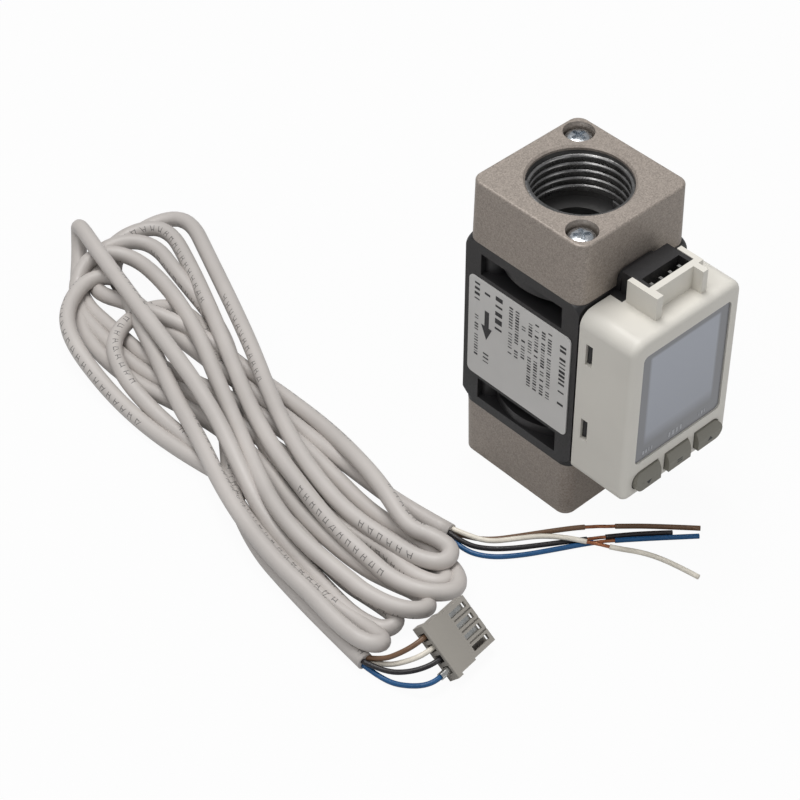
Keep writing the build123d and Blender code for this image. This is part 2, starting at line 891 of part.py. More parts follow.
write(place_block(port_block(), True), "inlet_port_block")
write(place_block(port_block(), False), "outlet_port_block")
write(sensor_body(), "sensor_body")
write(Pos(0, 0, high_parting - seal_height) * port_seal(), "inlet_seal")
write(Pos(0, 0, low_parting) * port_seal(), "outlet_seal")
write(flow_restrictor(), "flow_restrictor")

for number, corner in enumerate(screw_corners, start=1):
    screw = Pos(*corner) * block_screw()
    write(place_block(screw, True), f"inlet_screw_{number}")
    write(place_block(screw, False), f"outlet_screw_{number}")

write(name_plate(), "name_plate")
write(sensor_gasket(), "sensor_gasket")
write(sensor_circuit_board(), "sensor_circuit_board")
write(flow_sensing_chip(), "flow_sensing_chip")
write(display_housing(), "display_housing")
write(display_window(), "display_window")
write(display_glass(), "display_glass")
write(backlight(), "backlight")
write(main_circuit_board(), "main_circuit_board")

for position, name in ((-1, "down"), (0, "set"), (1, "up")):
    write(push_button(position), f"button_{name}")
    write(tactile_switch(position), f"switch_{name}")

write(connector_shroud(), "connector_shroud")
for number, centre in enumerate(pin_centres(), start=1):
    write(contact_pin(centre), f"contact_pin_{number}")

write(cable_hank(), "cable_hank")
write(cord_tube("cable_free_end", free_end_route, sheath_diameter), "cable_free_end")
write(cord_tube("cable_plug_end", plug_end_route, sheath_diameter), "cable_plug_end")
for colour, route in free_core_routes.items():
    write(cord_tube(f"free_wire_{colour}", route, core_diameter), f"free_wire_{colour}")

write(plug_housing(), "plug_housing")
for row, (colour, route) in zip(terminal_rows(), reversed(plug_core_routes.items())):
    pulled = last_terminal_pulled if colour == "blue" else 0
    wire_route = route + [crimp_entry(row, pulled, crimp_straight), crimp_entry(row, pulled, 0)]
    write(plug_terminal(row, pulled), f"plug_terminal_{colour}")
    write(cord_tube(f"plug_wire_{colour}", wire_route, core_diameter), f"plug_wire_{colour}")
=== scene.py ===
import math
from functools import partial

import bpy
from bpy.props import FloatProperty, FloatVectorProperty, IntProperty, PointerProperty
from bpy.types import Operator, Panel, PropertyGroup
from mathutils import Matrix, Vector


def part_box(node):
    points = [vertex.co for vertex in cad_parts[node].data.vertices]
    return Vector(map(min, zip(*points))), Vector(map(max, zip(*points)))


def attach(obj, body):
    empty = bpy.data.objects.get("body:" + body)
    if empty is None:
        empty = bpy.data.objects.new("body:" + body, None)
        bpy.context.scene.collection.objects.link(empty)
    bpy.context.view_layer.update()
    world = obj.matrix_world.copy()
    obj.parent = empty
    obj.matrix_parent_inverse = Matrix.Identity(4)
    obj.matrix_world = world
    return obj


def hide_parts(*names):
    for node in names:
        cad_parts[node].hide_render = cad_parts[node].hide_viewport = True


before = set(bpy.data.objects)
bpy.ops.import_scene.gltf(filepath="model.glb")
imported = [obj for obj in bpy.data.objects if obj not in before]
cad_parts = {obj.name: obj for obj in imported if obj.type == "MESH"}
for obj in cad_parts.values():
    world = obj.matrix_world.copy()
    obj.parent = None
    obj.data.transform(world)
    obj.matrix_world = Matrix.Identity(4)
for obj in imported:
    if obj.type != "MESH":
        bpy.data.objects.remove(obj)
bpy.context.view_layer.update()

bl_info = {
    "name": "Digital air flow switch",
    "version": (1, 0, 0),
    "blender": (4, 5, 0),
    "location": "View3D > Sidebar > Flow Switch",
    "description": "Dresses the flow switch and its coiled lead, and sets them on a white stage",
    "category": "Object",
}

MM = 0.001

# Radius about the flow axis inside which the blocks are bored and left bare
BORE_REACH = 10.7 * MM

# Middle of the flow axis, and how far from it the bare bore reaches in each block
PORT_MIDDLE = 35.0 * MM
BORE_END = 34.1 * MM


def paint(red, green, blue):
    """Linear values of a colour that is written as it looks, from 0 to 255."""
    values = [channel / 255 for channel in (red, green, blue)]
    return tuple(v / 12.92 if v <= 0.04045 else ((v + 0.055) / 1.055) ** 2.4 for v in values)


def opaque(colour):
    return (*colour[:3], 1.0)


def length(name, description, millimetres):
    return FloatProperty(name=name, description=description, default=millimetres * MM, min=0.0, unit="LENGTH")


def tint(name, description, *channels):
    return FloatVectorProperty(
        name=name, description=description, default=paint(*channels), size=3, min=0.0, max=1.0, subtype="COLOR"
    )


# Route of the lead, in millimetres, from its free end through the hank to its plug end.

FREE_END = [(-35.6, -3.0, 1.8), (-37.5, 8.5, 1.8), (-37.8, 20.0, 1.8)]
PLUG_END = [(-66.6, 20.5, 1.8), (-68.5, 8.5, 1.8), (-69.9, -4.0, 1.8), (-70.9, -16.4, 1.8)]

# Levels across the hank, from its head to its foot, at which each leg has a place and a height
LEG_LEVELS = (92.0, 76.0, 62.0, 49.0, 36.0, 24.0, 12.0, 1.0)

# Each turn of the hank: the leg up to its head, the fold there, the leg down and the fold at its foot. A leg is
# its places at the levels above, and one height for all of them or a height for each. Folds are corners.
HANK_TURNS = [
    {
        "up": ((-37.8, -37.6, -38.0, -38.2, -37.8), 1.8),
        "up_levels": (36.0, 49.0, 62.0, 76.0, 92.0),
        "head": [(-37.0, 104.0, 1.8), (-29.4, 111.7, 1.8), (-18.7, 112.9, 3.2), (-12.5, 106.5, 5.3)],
        "down": ((-18.6, -25.3, -31.5, -38.0, -43.5, -47.2, -49.2, -48.4), 5.3),
        "foot": [(-47.7, -5.7, 5.3), (-44.9, -10.7, 5.3), (-40.7, -9.3, 5.3), (-41.2, -3.6, 5.3)],
    },
    {
        "up": ((-43.6, -40.2, -37.0, -34.3, -33.6, -34.2, -34.8, -40.6), (5.8, 7.0, 5.2, 2.8, 1.8, 1.8, 3.6, 5.0)),
        "head": [(-43.2, 102.6, 3.0), (-37.0, 110.0, 2.4), (-27.1, 111.9, 5.3), (-18.0, 107.5, 5.3)],
        "down": ((-23.7, -30.7, -37.3, -43.4, -48.2, -51.1, -53.7, -54.6), 5.3),
        "foot": [(-55.0, -7.5, 5.3), (-52.2, -14.5, 5.3), (-47.0, -17.0, 4.2), (-42.2, -12.0, 2.2),
                 (-42.0, -4.0, 1.8)],
    },
    {
        "up": ((-42.0, -43.5, -42.0, -40.5, -41.0, -43.6, -47.6, -46.8), 1.8),
        "head": [(-46.2, 102.8, 1.8), (-41.1, 110.5, 2.4), (-32.3, 110.6, 6.3), (-24.0, 105.5, 5.2)],
        "down": ((-27.2, -29.0, -36.5, -43.5, -48.0, -50.0, -51.0, -49.0), (5.0, 1.8, 1.8, 1.8, 1.8, 1.9, 2.6, 3.3)),
        "foot": [(-50.5, -6.0, 3.5), (-48.5, -12.6, 3.5), (-45.2, -12.8, 3.0), (-44.5, -7.0, 1.8)],
    },
    {
        "up": ((-45.5, -47.0, -46.0, -45.0, -46.2, -47.6, -51.1, -50.2), 1.8),
        "head": [(-48.2, 101.8, 1.8), (-43.5, 108.5, 3.5), (-37.2, 109.8, 6.6), (-30.5, 105.0, 5.3)],
        "down": ((-31.2, -35.8, -42.2, -48.0, -53.8, -58.7, -61.0, -61.1), 5.3),
        "foot": [(-61.2, -6.6, 5.3), (-59.0, -14.0, 5.3), (-54.2, -17.0, 4.2), (-51.5, -11.5, 2.2),
                 (-53.5, -5.0, 2.2)],
    },
    {
        "up": ((-55.2, -55.2, -53.5, -50.5, -49.6, -51.2, -54.6, -53.4), (2.6, 2.4, 1.8, 1.8, 1.8, 1.8, 1.8, 1.8)),
        "head": [(-49.2, 100.0, 1.9), (-43.0, 108.7, 1.9), (-38.2, 114.2, 2.8), (-34.6, 118.6, 5.2),
                 (-34.8, 118.0, 8.9), (-37.4, 108.5, 8.9)],
        "down": ((-41.4, -45.2, -48.3, -52.0, -57.0, -60.8, -62.4, -64.1), (8.8, 8.8, 8.2, 7.2, 5.6, 2.4, 1.8, 1.8)),
        "foot": [(-64.8, -7.2, 1.8), (-63.0, -13.5, 1.8), (-59.0, -13.5, 2.5), (-59.3, -6.2, 2.2)],
    },
    {
        "up": ((-60.0, -58.7, -57.0, -57.6, -59.8, -60.8, -60.2, -57.8), (1.8, 1.8, 1.8, 1.8, 1.8, 1.8, 2.5, 5.0)),
        "head": [(-51.9, 100.8, 5.3), (-42.3, 105.2, 5.3), (-36.8, 100.5, 5.1)],
        "down": ((-41.2, -47.2, -53.0, -57.2, -62.4, -66.0, -68.3, -69.0), 5.3),
        "foot": [(-70.2, -7.4, 5.3), (-70.0, -15.4, 5.3), (-66.5, -17.6, 4.6), (-64.8, -11.6, 1.9)],
    },
    {
        "up": ((-66.0, -65.6, -63.8, -60.5, -57.0, -57.6, -56.5), (1.8, 1.8, 1.8, 1.8, 1.8, 2.5, 4.8)),
        "up_levels": (1.0, 12.0, 24.0, 36.0, 49.0, 62.0, 76.0),
        "head": [(-51.5, 85.5, 5.3), (-42.0, 89.0, 5.0), (-33.5, 88.0, 3.0), (-31.5, 81.0, 1.8)],
        "down": ((-35.0, -41.5, -50.0, -60.0), 1.8),
        "down_levels": (72.0, 62.0, 49.0, 36.0),
        "foot": [],
    },
]

# Core wires at the free end, from the sheath to their tips
FREE_CORES = {
    "white": [
        (-35.1, -2.5, 2.36), (-33.9, -6.5, 2.2), (-31.7, -10.2, 1.8), (-27.5, -13.0, 1.75),
        (-23.1, -15.9, 1.75), (-19.8, -19.6, 1.75), (-17.1, -24.0, 1.72), (-14.0, -28.4, 1.1),
        (-10.6, -32.4, 0.6), (-8.6, -38.0, 0.6), (-7.6, -44.3, 0.6),
    ],
    "brown": [
        (-35.0, -2.7, 1.23), (-33.1, -6.2, 0.8), (-30.2, -9.3, 0.6), (-26.0, -12.0, 0.6),
        (-20.5, -15.3, 0.6), (-14.2, -19.3, 0.6), (-9.0, -24.0, 0.6), (-4.1, -28.5, 0.6),
        (2.6, -35.6, 0.6),
    ],
    "black": [
        (-36.2, -2.8, 2.36), (-35.5, -6.9, 1.35), (-32.9, -10.3, 0.65), (-29.2, -13.6, 0.6),
        (-23.2, -17.6, 0.6), (-17.0, -21.6, 0.6), (-11.6, -25.3, 0.6), (-6.6, -29.0, 0.6),
        (-2.4, -32.6, 0.6),
    ],
    "blue": [
        (-36.1, -2.9, 1.23), (-36.5, -7.2, 0.62), (-34.2, -12.2, 0.6), (-29.2, -16.2, 0.6),
        (-23.2, -19.6, 0.6), (-15.9, -23.6, 0.6), (-12.0, -26.5, 0.6), (-6.7, -30.7, 0.6),
        (0.8, -36.9, 0.6),
    ],
}

# Stretch of each core where the insulation is drawn off the copper, in millimetres from the sheath, and each
# core's length in metres
BARE_STRETCH = {"white": (28.0, 32.6), "brown": (27.3, 33.4), "black": (29.0, 32.8), "blue": (31.2, 35.6)}

# Core wires at the plug, from the sheath to their crimps
PLUG_CORES = {
    "brown": [(-70.4, -16.2, 2.36), (-69.2, -19.2, 3.3), (-66.9, -22.0, 5.8)],
    "white": [(-70.3, -16.2, 1.2), (-68.9, -20.0, 2.1), (-66.8, -23.4, 4.4)],
    "black": [(-71.5, -16.2, 2.36), (-70.4, -20.8, 2.2), (-67.6, -25.0, 3.3)],
    "blue": [(-71.4, -16.2, 1.2), (-71.0, -20.6, 0.8), (-69.8, -25.0, 1.2)],
}

# The plug's corner, its turn about the vertical and how far it leans back on the hank
PLUG_CORNER = Vector((-61.5, -29.9, 0.05))
PLUG_TURN = math.radians(6.7)
PLUG_LEAN = math.radians(40.0)
PLUG_CRIMP_START = 1.2
PLUG_CRIMP_STRAIGHT = 2.8
PLUG_BLUE_PULLED = 3.4
PLUG_MIDDLE = 6.1
PLUG_PITCH = 2.54
PLUG_HALF_THICKNESS = 1.7

# The marks lie on the flat lower half of each button's face, this far below its middle
BUTTON_MARK_DROP = 0.75 * MM

# How far the seen face of a screw head lies above the plain head inside it
SCREW_HEAD_LIFT = 0.7 * MM

# Sides round a core and round its bared copper, and the ridges of the copper's twisted strands
CORE_SIDES = 14
COPPER_SIDES = 28
COPPER_FLUTES = 7
COPPER_LAY = 1800.0
FLUTE_DEPTH = 0.12

# Height of each port's floor, and where its thread starts and ends beyond the floor
INLET_FLOOR = 58.0 * MM
OUTLET_FLOOR = 12.0 * MM
THREAD_START = 0.9 * MM
THREAD_END = 11.1 * MM

# Half the spread of a finish's roughness, and the stretches of noise that shade its gloss and its colour
GLOSS_SPREAD = 0.08
GLOSS_NOISE = (0.3, 0.7)
MOTTLE_NOISE = (0.35, 0.65)

# The display field behind the pane: its corners in X and Z, its soft edge, its softer foot and the heights over
# which painted light lightens it upwards
PANE_FIELD = ((-9.6 * MM, 28.4 * MM), (9.6 * MM, 49.6 * MM))
PANE_FIELD_EDGE = 0.35 * MM
PANE_FIELD_FOOT = 1.6 * MM
PANE_PAINTED_LIGHT = (24.0 * MM, 51.0 * MM)

# Printed ticks along the lead: their pitch, how many make a group and the share of groups that is printed
TICK_PITCH = 2.5 * MM
TICKS_IN_GROUP = 6.0
PRINTED_SHARE = 0.45

# Print in millimetres, in blocks of bars and in outlines. On the plate X runs down and Y towards the display.
PLATE_BLOCKS = [
    ((-10.6, 11.9), 1, 2.0, 17, 1.05, 1.6, 3),
    ((-10.6, 8.4), 2, 1.7, 24, 0.72, 1.0, 5),
    ((-10.6, 4.9), 2, 1.7, 24, 0.72, 1.0, 7),
    ((-8.0, 1.4), 1, 1.7, 12, 0.72, 1.0, 8),
    ((-10.6, -0.4), 2, 1.7, 17, 0.72, 1.0, 11),
    ((-10.6, -5.4), 1, 1.6, 5, 1.9, 1.9, 13),
    ((-11.0, -8.6), 1, 1.6, 2, 1.0, 1.5, 15),
    ((5.6, -8.6), 1, 1.6, 3, 1.0, 1.5, 16),
    ((-11.2, -11.4), 1, 1.6, 4, 1.3, 1.4, 17),
    ((-3.0, -11.4), 1, 1.6, 16, 0.72, 1.0, 18),
]
FLOW_ARROW = [
    [(-5.6, -9.2), (-1.6, -9.2), (-1.6, -8.0), (-5.6, -8.0)],
    [(-1.6, -10.1), (1.8, -8.6), (-1.6, -7.1)],
]
PANE_BLOCKS = [
    ((-9.6, 0.0), 1, 1.0, 4, 0.8, 0.9, 21),
    ((-2.2, 0.0), 1, 1.0, 4, 1.1, 1.2, 22),
    ((6.4, 0.0), 1, 1.0, 4, 0.8, 0.9, 23),
]
PANE_MARK_RISE = 1.6 * MM
BUTTON_MARKS = {
    "up": [[(-0.75, -0.4), (0.75, -0.4), (0.0, 0.55)]],
    "down": [[(0.0, -0.55), (0.75, 0.4), (-0.75, 0.4)]],
    "set": [[(-0.75, 0.15), (0.75, 0.15), (0.75, 0.4), (-0.75, 0.4)],
            [(-0.75, -0.4), (0.75, -0.4), (0.75, -0.15), (-0.75, -0.15)]],
}

# Half side of the floor in metres, its grey, the share of white that is seen of it, and the world's light
FLOOR_REACH = 3.0
FLOOR_GREY = 0.6
FLOOR_WHITE_SHARE = 0.95
WORLD_LIGHT = 0.34

# Lamps: place and width in metres and power in watts, all aimed at one point
LAMP_AIM = Vector((-0.02, 0.0, 0.03))
LAMPS = [
    ("key", (-0.45, 0.05, 0.75), 0.40, 1.7),
    ("front", (0.10, -0.80, 0.50), 0.5, 1.3),
    ("top", (0.05, 0.20, 0.85), 0.4, 4.4),
]

# Camera of the photograph
CAMERA_PLACE = Vector((-275.5, -245.0, 356.9)) * MM
CAMERA_PITCH = math.radians(43.12)
CAMERA_YAW = math.radians(43.06)
CAMERA_SENSOR = 36.0
CAMERA_LENS = 110.84


class FlowSwitchSizes(PropertyGroup):
    """Sizes of the pieces that are added to the solids."""

    lead_diameter: length("Lead diameter", "Outside diameter of the sheath", 3.5)
    core_diameter: length("Core diameter", "Outside diameter of a core's insulation", 1.05)
    strand_diameter: length("Copper diameter", "Diameter of the bared copper", 0.66)
    print_height: length("Print height", "How far print stands off its face", 0.02)
    thread_pitch: length("Thread pitch", "Pitch of the port's pipe thread", 1.814)
    thread_tip: length("Thread tip radius", "Radius at the tips of the port's thread", 9.33)
    thread_ridge: length("Thread ridge radius", "Radius round the section of a ridge", 0.93)
    lead_length: length("Lead length", "Length of the sheath from end to end", 1870.0)
    tube_sides: IntProperty(name="Lead sides", description="Sides round the lead", default=16, min=8, max=48)


class FlowSwitchColours(PropertyGroup):
    """Colours of the visible finishes."""

    block_coat: tint("Block coat", "Champagne-grey coat of the port blocks", 152, 142, 133)
    thread_metal: tint("Thread metal", "Bare metal inside the ports", 132, 131, 130)
    screw_plating: tint("Screw plating", "Zinc plating of the screws", 214, 218, 222)
    black_plastic: tint("Black plastic", "Moulded black plastic", 38, 37, 38)
    ivory_plastic: tint("Housing plastic", "Ivory plastic of the display housing", 218, 214, 205)
    plate_film: tint("Plate film", "Film of the name plate", 206, 204, 201)
    print_ink: tint("Print ink", "Ink on the plate and the lead", 42, 41, 43)
    pane_border: tint("Pane border", "Border under the window pane", 126, 127, 131)
    pane_field: tint("Pane field", "Display field under the window pane", 160, 164, 174)
    button_rubber: tint("Button rubber", "Dark warm grey of the buttons", 131, 128, 118)
    sheath: tint("Sheath", "Light grey sheath of the lead", 189, 183, 178)
    plug_plastic: tint("Plug plastic", "Warm grey plastic of the plug", 152, 147, 139)
    copper: tint("Copper", "Bared copper strands", 176, 116, 84)
    board: tint("Board", "Solder mask of the circuit boards", 34, 88, 60)
    tin: tint("Tin", "Tin plating of the contacts", 205, 205, 202)
    white_core: tint("White core", "Off-white insulation", 226, 219, 205)
    brown_core: tint("Brown core", "Brown insulation", 112, 84, 62)
    black_core: tint("Black core", "Black insulation", 32, 29, 31)
    blue_core: tint("Blue core", "Blue insulation", 14, 78, 126)


def sizes():
    return bpy.context.scene.flow_switch_sizes


def colours():
    return bpy.context.scene.flow_switch_colours


# Shader building

def set_inputs(tree, node, inputs):
    """Gives the node's inputs their values, or links them where a socket is given."""
    for name, value in inputs.items():
        if isinstance(value, bpy.types.NodeSocket):
            tree.links.new(value, node.inputs[name])
        else:
            node.inputs[name].default_value = value


def add_node(tree, kind, inputs=None, **settings):
    """A node of that kind, with its settings, and with values or sockets given to its inputs."""
    node = tree.nodes.new(kind)
    for name, value in settings.items():
        setattr(node, name, value)
    set_inputs(tree, node, inputs or {})
    return node


def math_node(tree, operation, *values):
    return add_node(tree, "ShaderNodeMath", dict(enumerate(values)), operation=operation).outputs[0]


def ramp_node(tree, factor, low, high, start=0.0, end=1.0):
    """The factor brought from start..end to low..high."""
    settings = {"Value": factor, "From Min": start, "From Max": end, "To Min": low, "To Max": high}
    return add_node(tree, "ShaderNodeMapRange", settings).outputs[0]


def split(tree, vector):
    """The vector's parts along X, Y and Z."""
    return add_node(tree, "ShaderNodeSeparateXYZ", {"Vector": vector}).outputs


def near(tree, value, middle, reach):
    """1 where the value is within reach of the middle, else 0."""
    away = math_node(tree, "ABSOLUTE", math_node(tree, "SUBTRACT", value, middle))
    return math_node(tree, "LESS_THAN", away, reach)


def mix_colours(tree, factor, first, second):
    return add_node(tree, "ShaderNodeMix", {0: factor, 6: first, 7: second}, data_type="RGBA").outputs[2]


def new_group(name, inputs, outputs):
    """A shader group with float inputs given as name and value, and float outputs."""
    group = bpy.data.node_groups.new(name, "ShaderNodeTree")
    group.interface.new_socket("Vector", in_out="INPUT", socket_type="NodeSocketVector")
    for label, value in inputs:
        socket = group.interface.new_socket(label, in_out="INPUT", socket_type="NodeSocketFloat")
        socket.default_value = value
    for label in outputs:
        group.interface.new_socket(label, in_out="OUTPUT", socket_type="NodeSocketFloat")
    return group, group.nodes.new("NodeGroupInput").outputs, group.nodes.new("NodeGroupOutput").inputs


def shade(colour, share):
    """The colour with its channels multiplied by the share, as an opaque colour."""
    return opaque(tuple(min(1.0, channel * share) for channel in colour))


def place_group(tree, group, place, values):
    """The outputs of the shader group at that place, with the given values for its inputs."""
    return add_node(tree, "ShaderNodeGroup", {"Vector": place, **values}, node_tree=group).outputs


def relief(tree, height, strength, distance):
    inputs = {"Height": height, "Strength": strength, "Distance": distance}
    return add_node(tree, "ShaderNodeBump", inputs).outputs[0]


def grain_group():
    """Fine grain of a moulded or coated surface: a height for bump and a slow mottle."""
    name = "surface_grain"
    if name in bpy.data.node_groups:
        return bpy.data.node_groups[name]
    group, given, result = new_group(name, [("Grain", 2500.0), ("Mottle", 60.0)], ["Height", "Mottle"])
    for label, output, detail in (("Grain", "Height", 2.0), ("Mottle", "Mottle", 3.0)):
        settings = {"Vector": given["Vector"], "Scale": given[label], "Detail": detail}
        group.links.new(add_node(group, "ShaderNodeTexNoise", settings).outputs[0], result[output])
    return group


def fleck_group():
    """Bright and dark flecks of a metallic coat, from 0 to 1 about a middle of one half."""
    group, given, result = new_group("coat_flecks", [("Density", 3000.0)], ["Flecks"])
    place = {"Vector": given["Vector"], "Scale": given["Density"]}
    cells = add_node(group, "ShaderNodeTexVoronoi", place)
    parts = add_node(group, "ShaderNodeSeparateColor", {"Color": cells.outputs["Color"]})
    cloud = add_node(group, "ShaderNodeTexNoise", {**place, "Detail": 4.0})
    grains = math_node(group, "MULTIPLY_ADD", parts.outputs[0], 0.4, 0.3)
    clouds = math_node(group, "MULTIPLY_ADD", cloud.outputs[0], 1.2, -0.6)
    group.links.new(math_node(group, "ADD", grains, clouds), result["Flecks"])
    return group


def new_material(name):
    """An empty material with its output, its shader and the piece's own coordinates."""
    material = bpy.data.materials.new(name)
    material.use_nodes = True
    tree = material.node_tree
    tree.nodes.clear()
    shader = add_node(tree, "ShaderNodeBsdfPrincipled")
    output = add_node(tree, "ShaderNodeOutputMaterial")
    tree.links.new(shader.outputs[0], output.inputs["Surface"])
    place = add_node(tree, "ShaderNodeTexCoord").outputs["Object"]
    return material, tree, shader, place


def finish_material(
    name, colour, roughness, grain=2500.0, bump=0.1, mottle=60.0, variation=0.08, metallic=0.0, coat=0.0
):
    """A coated, moulded or plated finish with grain, slow variation of its colour and uneven gloss."""
    name = f"{name}_finish"
    if name in bpy.data.materials:
        return bpy.data.materials[name]
    material, tree, shader, place = new_material(name)
    surface = place_group(tree, grain_group(), place, {"Grain": grain, "Mottle": mottle})
    mottling = ramp_node(tree, surface["Mottle"], 0.0, 1.0, *MOTTLE_NOISE)
    dull, glossy = roughness - GLOSS_SPREAD, roughness + GLOSS_SPREAD
    set_inputs(tree, shader, {
        "Base Color": mix_colours(tree, mottling, shade(colour, 1 - variation), shade(colour, 1 + variation)),
        "Roughness": ramp_node(tree, surface["Height"], dull, glossy, *GLOSS_NOISE),
        "Metallic": metallic, "Coat Weight": coat, "Coat Roughness": 0.1,
        "Normal": relief(tree, surface["Height"], bump, 0.1 * MM),
    })
    return material


def block_coat_material():
    """Metallic champagne-grey coat with fine flecks, and bare metal where the ports are bored, painted darker there
    as shade inside the bores.
    """
    material, tree, shader, place = new_material("block_coat")
    flecks = place_group(tree, fleck_group(), place, {"Density": 3600.0})["Flecks"]
    surface = place_group(tree, grain_group(), place, {"Grain": 1800.0, "Mottle": 90.0})
    base = colours().block_coat
    coat = mix_colours(tree, flecks, shade(base, 0.62), shade(base, 1.45))
    parts = split(tree, place)
    across = add_node(tree, "ShaderNodeCombineXYZ", {"X": parts[0], "Y": parts[1]}).outputs[0]
    reach = add_node(tree, "ShaderNodeVectorMath", {0: across}, operation="LENGTH").outputs["Value"]
    bored = math_node(tree, "MULTIPLY", math_node(tree, "LESS_THAN", reach, BORE_REACH),
                      near(tree, parts[2], PORT_MIDDLE, BORE_END))
    set_inputs(tree, shader, {
        # Painted shade: the bores get a copy of the thread metal darkened to 0.6 of its colour
        "Base Color": mix_colours(tree, bored, coat, shade(colours().thread_metal, 0.6)),
        "Roughness": ramp_node(tree, flecks, 0.36, 0.56),
        "Metallic": ramp_node(tree, bored, 0.3, 0.85),
        "Normal": relief(tree, surface["Height"], 0.25, 0.12 * MM),
    })
    return material


def box_mask(tree, place, low, high, edge, foot_edge):
    """1 inside the rectangle low..high of X and Z, falling to 0 over the edge width, more slowly at its foot."""
    parts = split(tree, place)
    factors = []
    for axis, start, end in ((0, low[0], high[0]), (2, low[1], high[1])):
        fall = foot_edge if axis == 2 else edge
        factors.append(ramp_node(tree, parts[axis], 0.0, 1.0, start - fall, start + fall))
        factors.append(ramp_node(tree, parts[axis], 1.0, 0.0, end - edge, end + edge))
    product = factors[0]
    for factor in factors[1:]:
        product = math_node(tree, "MULTIPLY", product, factor)
    return product


def pane_material():
    """Clear pane over a switched-off display: a darker border round a lighter field that fades downwards, the fade
    being painted light that falls from above.
    """
    material, tree, shader, place = new_material("window_pane_finish")
    field = box_mask(tree, place, *PANE_FIELD, PANE_FIELD_EDGE, PANE_FIELD_FOOT)
    height = split(tree, place)[2]
    # Painted light: a darker and a lighter copy of the field colour, blended from the field's foot to its top
    fade = ramp_node(tree, height, 0.0, 1.0, *PANE_PAINTED_LIGHT)
    base = colours().pane_field
    painted_light_field = mix_colours(tree, fade, shade(base, 0.92), shade(base, 1.12))
    smudge = add_node(tree, "ShaderNodeTexNoise", {"Vector": place, "Scale": 140.0, "Detail": 3.0}).outputs[0]
    set_inputs(tree, shader, {
        "Base Color": mix_colours(tree, field, opaque(colours().pane_border), painted_light_field),
        "Roughness": ramp_node(tree, smudge, 0.1, 0.22, *GLOSS_NOISE),
        "Coat Weight": 0.5, "Coat Roughness": 0.04,
    })
    return material


def sheath_material():
    """Satin sheath with a row of plain printed ticks along one side."""
    material, tree, shader, place = new_material("lead_sheath")
    surface = place_group(tree, grain_group(), place, {"Grain": 1500.0, "Mottle": 45.0})
    along = add_node(tree, "ShaderNodeUVMap", uv_map="along")
    parts = split(tree, along.outputs[0])
    act = partial(math_node, tree)
    def chance(number):
        return add_node(tree, "ShaderNodeTexWhiteNoise", {"W": number}, noise_dimensions="1D").outputs["Value"]

    cell = act("DIVIDE", parts[0], TICK_PITCH)
    number, within = act("FLOOR", cell), act("FRACT", cell)
    lean = chance(number)
    printed = act("LESS_THAN", chance(act("FLOOR", act("DIVIDE", number, TICKS_IN_GROUP))), PRINTED_SHARE)
    side = act("SUBTRACT", act("FRACT", act("ADD", parts[1], 0.42)), 0.5)
    slant = act("MULTIPLY", side, ramp_node(tree, lean, -3.0, 3.0))
    first = act("ABSOLUTE", act("ADD", act("SUBTRACT", within, 0.3), slant))
    second = act("ABSOLUTE", act("SUBTRACT", within, 0.66))
    stroke = act("LESS_THAN", act("MINIMUM", first, second), 0.042)
    rung_place = ramp_node(tree, act("FRACT", act("MULTIPLY", lean, 7.0)), -0.05, 0.05)
    rung = act("MULTIPLY", near(tree, side, rung_place, 0.009), near(tree, within, 0.48, 0.2))
    marks = act("MULTIPLY", act("MAXIMUM", stroke, rung), near(tree, side, 0.0, 0.06))
    ink = act("MULTIPLY", act("MULTIPLY", marks, printed), 0.7)
    mottling = ramp_node(tree, surface["Mottle"], 0.0, 1.0, *MOTTLE_NOISE)
    base = colours().sheath
    plain = mix_colours(tree, mottling, shade(base, 0.93), shade(base, 1.05))
    set_inputs(tree, shader, {
        "Base Color": mix_colours(tree, ink, plain, opaque(colours().print_ink)),
        "Roughness": ramp_node(tree, surface["Height"], 0.38, 0.52, *GLOSS_NOISE),
        "Normal": relief(tree, surface["Mottle"], 0.12, 0.3 * MM),
    })
    return material


def copper_material():
    return finish_material(
        "bare_copper", colours().copper, 0.34, grain=4000.0, bump=0.3, mottle=900.0, variation=0.2, metallic=0.9
    )


def insulation_material(colour):
    tint = getattr(colours(), f"{colour}_core")
    return finish_material(f"core_{colour}", tint, 0.4, grain=1800.0, bump=0.06, mottle=220.0, variation=0.08)


# Round pieces that follow a line

def smooth_line(control_points, resolution=10):
    """Points along the NURBS spline that has the given millimetre points as its control points, in metres."""
    curve = bpy.data.curves.new("line", "CURVE")
    curve.dimensions = "3D"
    spline = curve.splines.new("NURBS")
    spline.points.add(len(control_points) - 1)
    for point, place in zip(spline.points, control_points):
        point.co = (*(value * MM for value in place), 1.0)
    spline.order_u = 3
    spline.use_endpoint_u = True
    spline.resolution_u = resolution
    holder = bpy.data.objects.new("line", curve)
    mesh = bpy.data.meshes.new_from_object(holder)
    points = [vertex.co.copy() for vertex in mesh.vertices]
    bpy.data.objects.remove(holder)
    bpy.data.curves.remove(curve)
    bpy.data.meshes.remove(mesh)
    return points


def line_frames(points):
    """Direction and side of the line at each point, the side carried along without twist from straight up."""
    directions = []
    for index in range(len(points)):
        ahead = points[min(index + 1, len(points) - 1)]
        behind = points[max(index - 1, 0)]
        directions.append((ahead - behind).normalized())
    side = Vector((0.0, 0.0, 1.0))
    frames = []
    for direction in directions:
        side = (side - direction * side.dot(direction)).normalized()
        frames.append((direction, side.copy()))
    return frames


def line_lengths(points):
    lengths = [0.0]
    for before, after in zip(points, points[1:]):
        lengths.append(lengths[-1] + (after - before).length)
    return lengths


def cut_line(points, start, end):
    """The stretch of a line between two lengths along it."""
    lengths = line_lengths(points)

    def at(length):
        for index in range(1, len(points)):
            if lengths[index] >= length:
                share = (length - lengths[index - 1]) / (lengths[index] - lengths[index - 1])
                return points[index - 1].lerp(points[index], share)
        return points[-1].copy()

    kept = [point for point, length in zip(points, lengths) if start < length < end]
    return [at(start), *kept, at(end)]


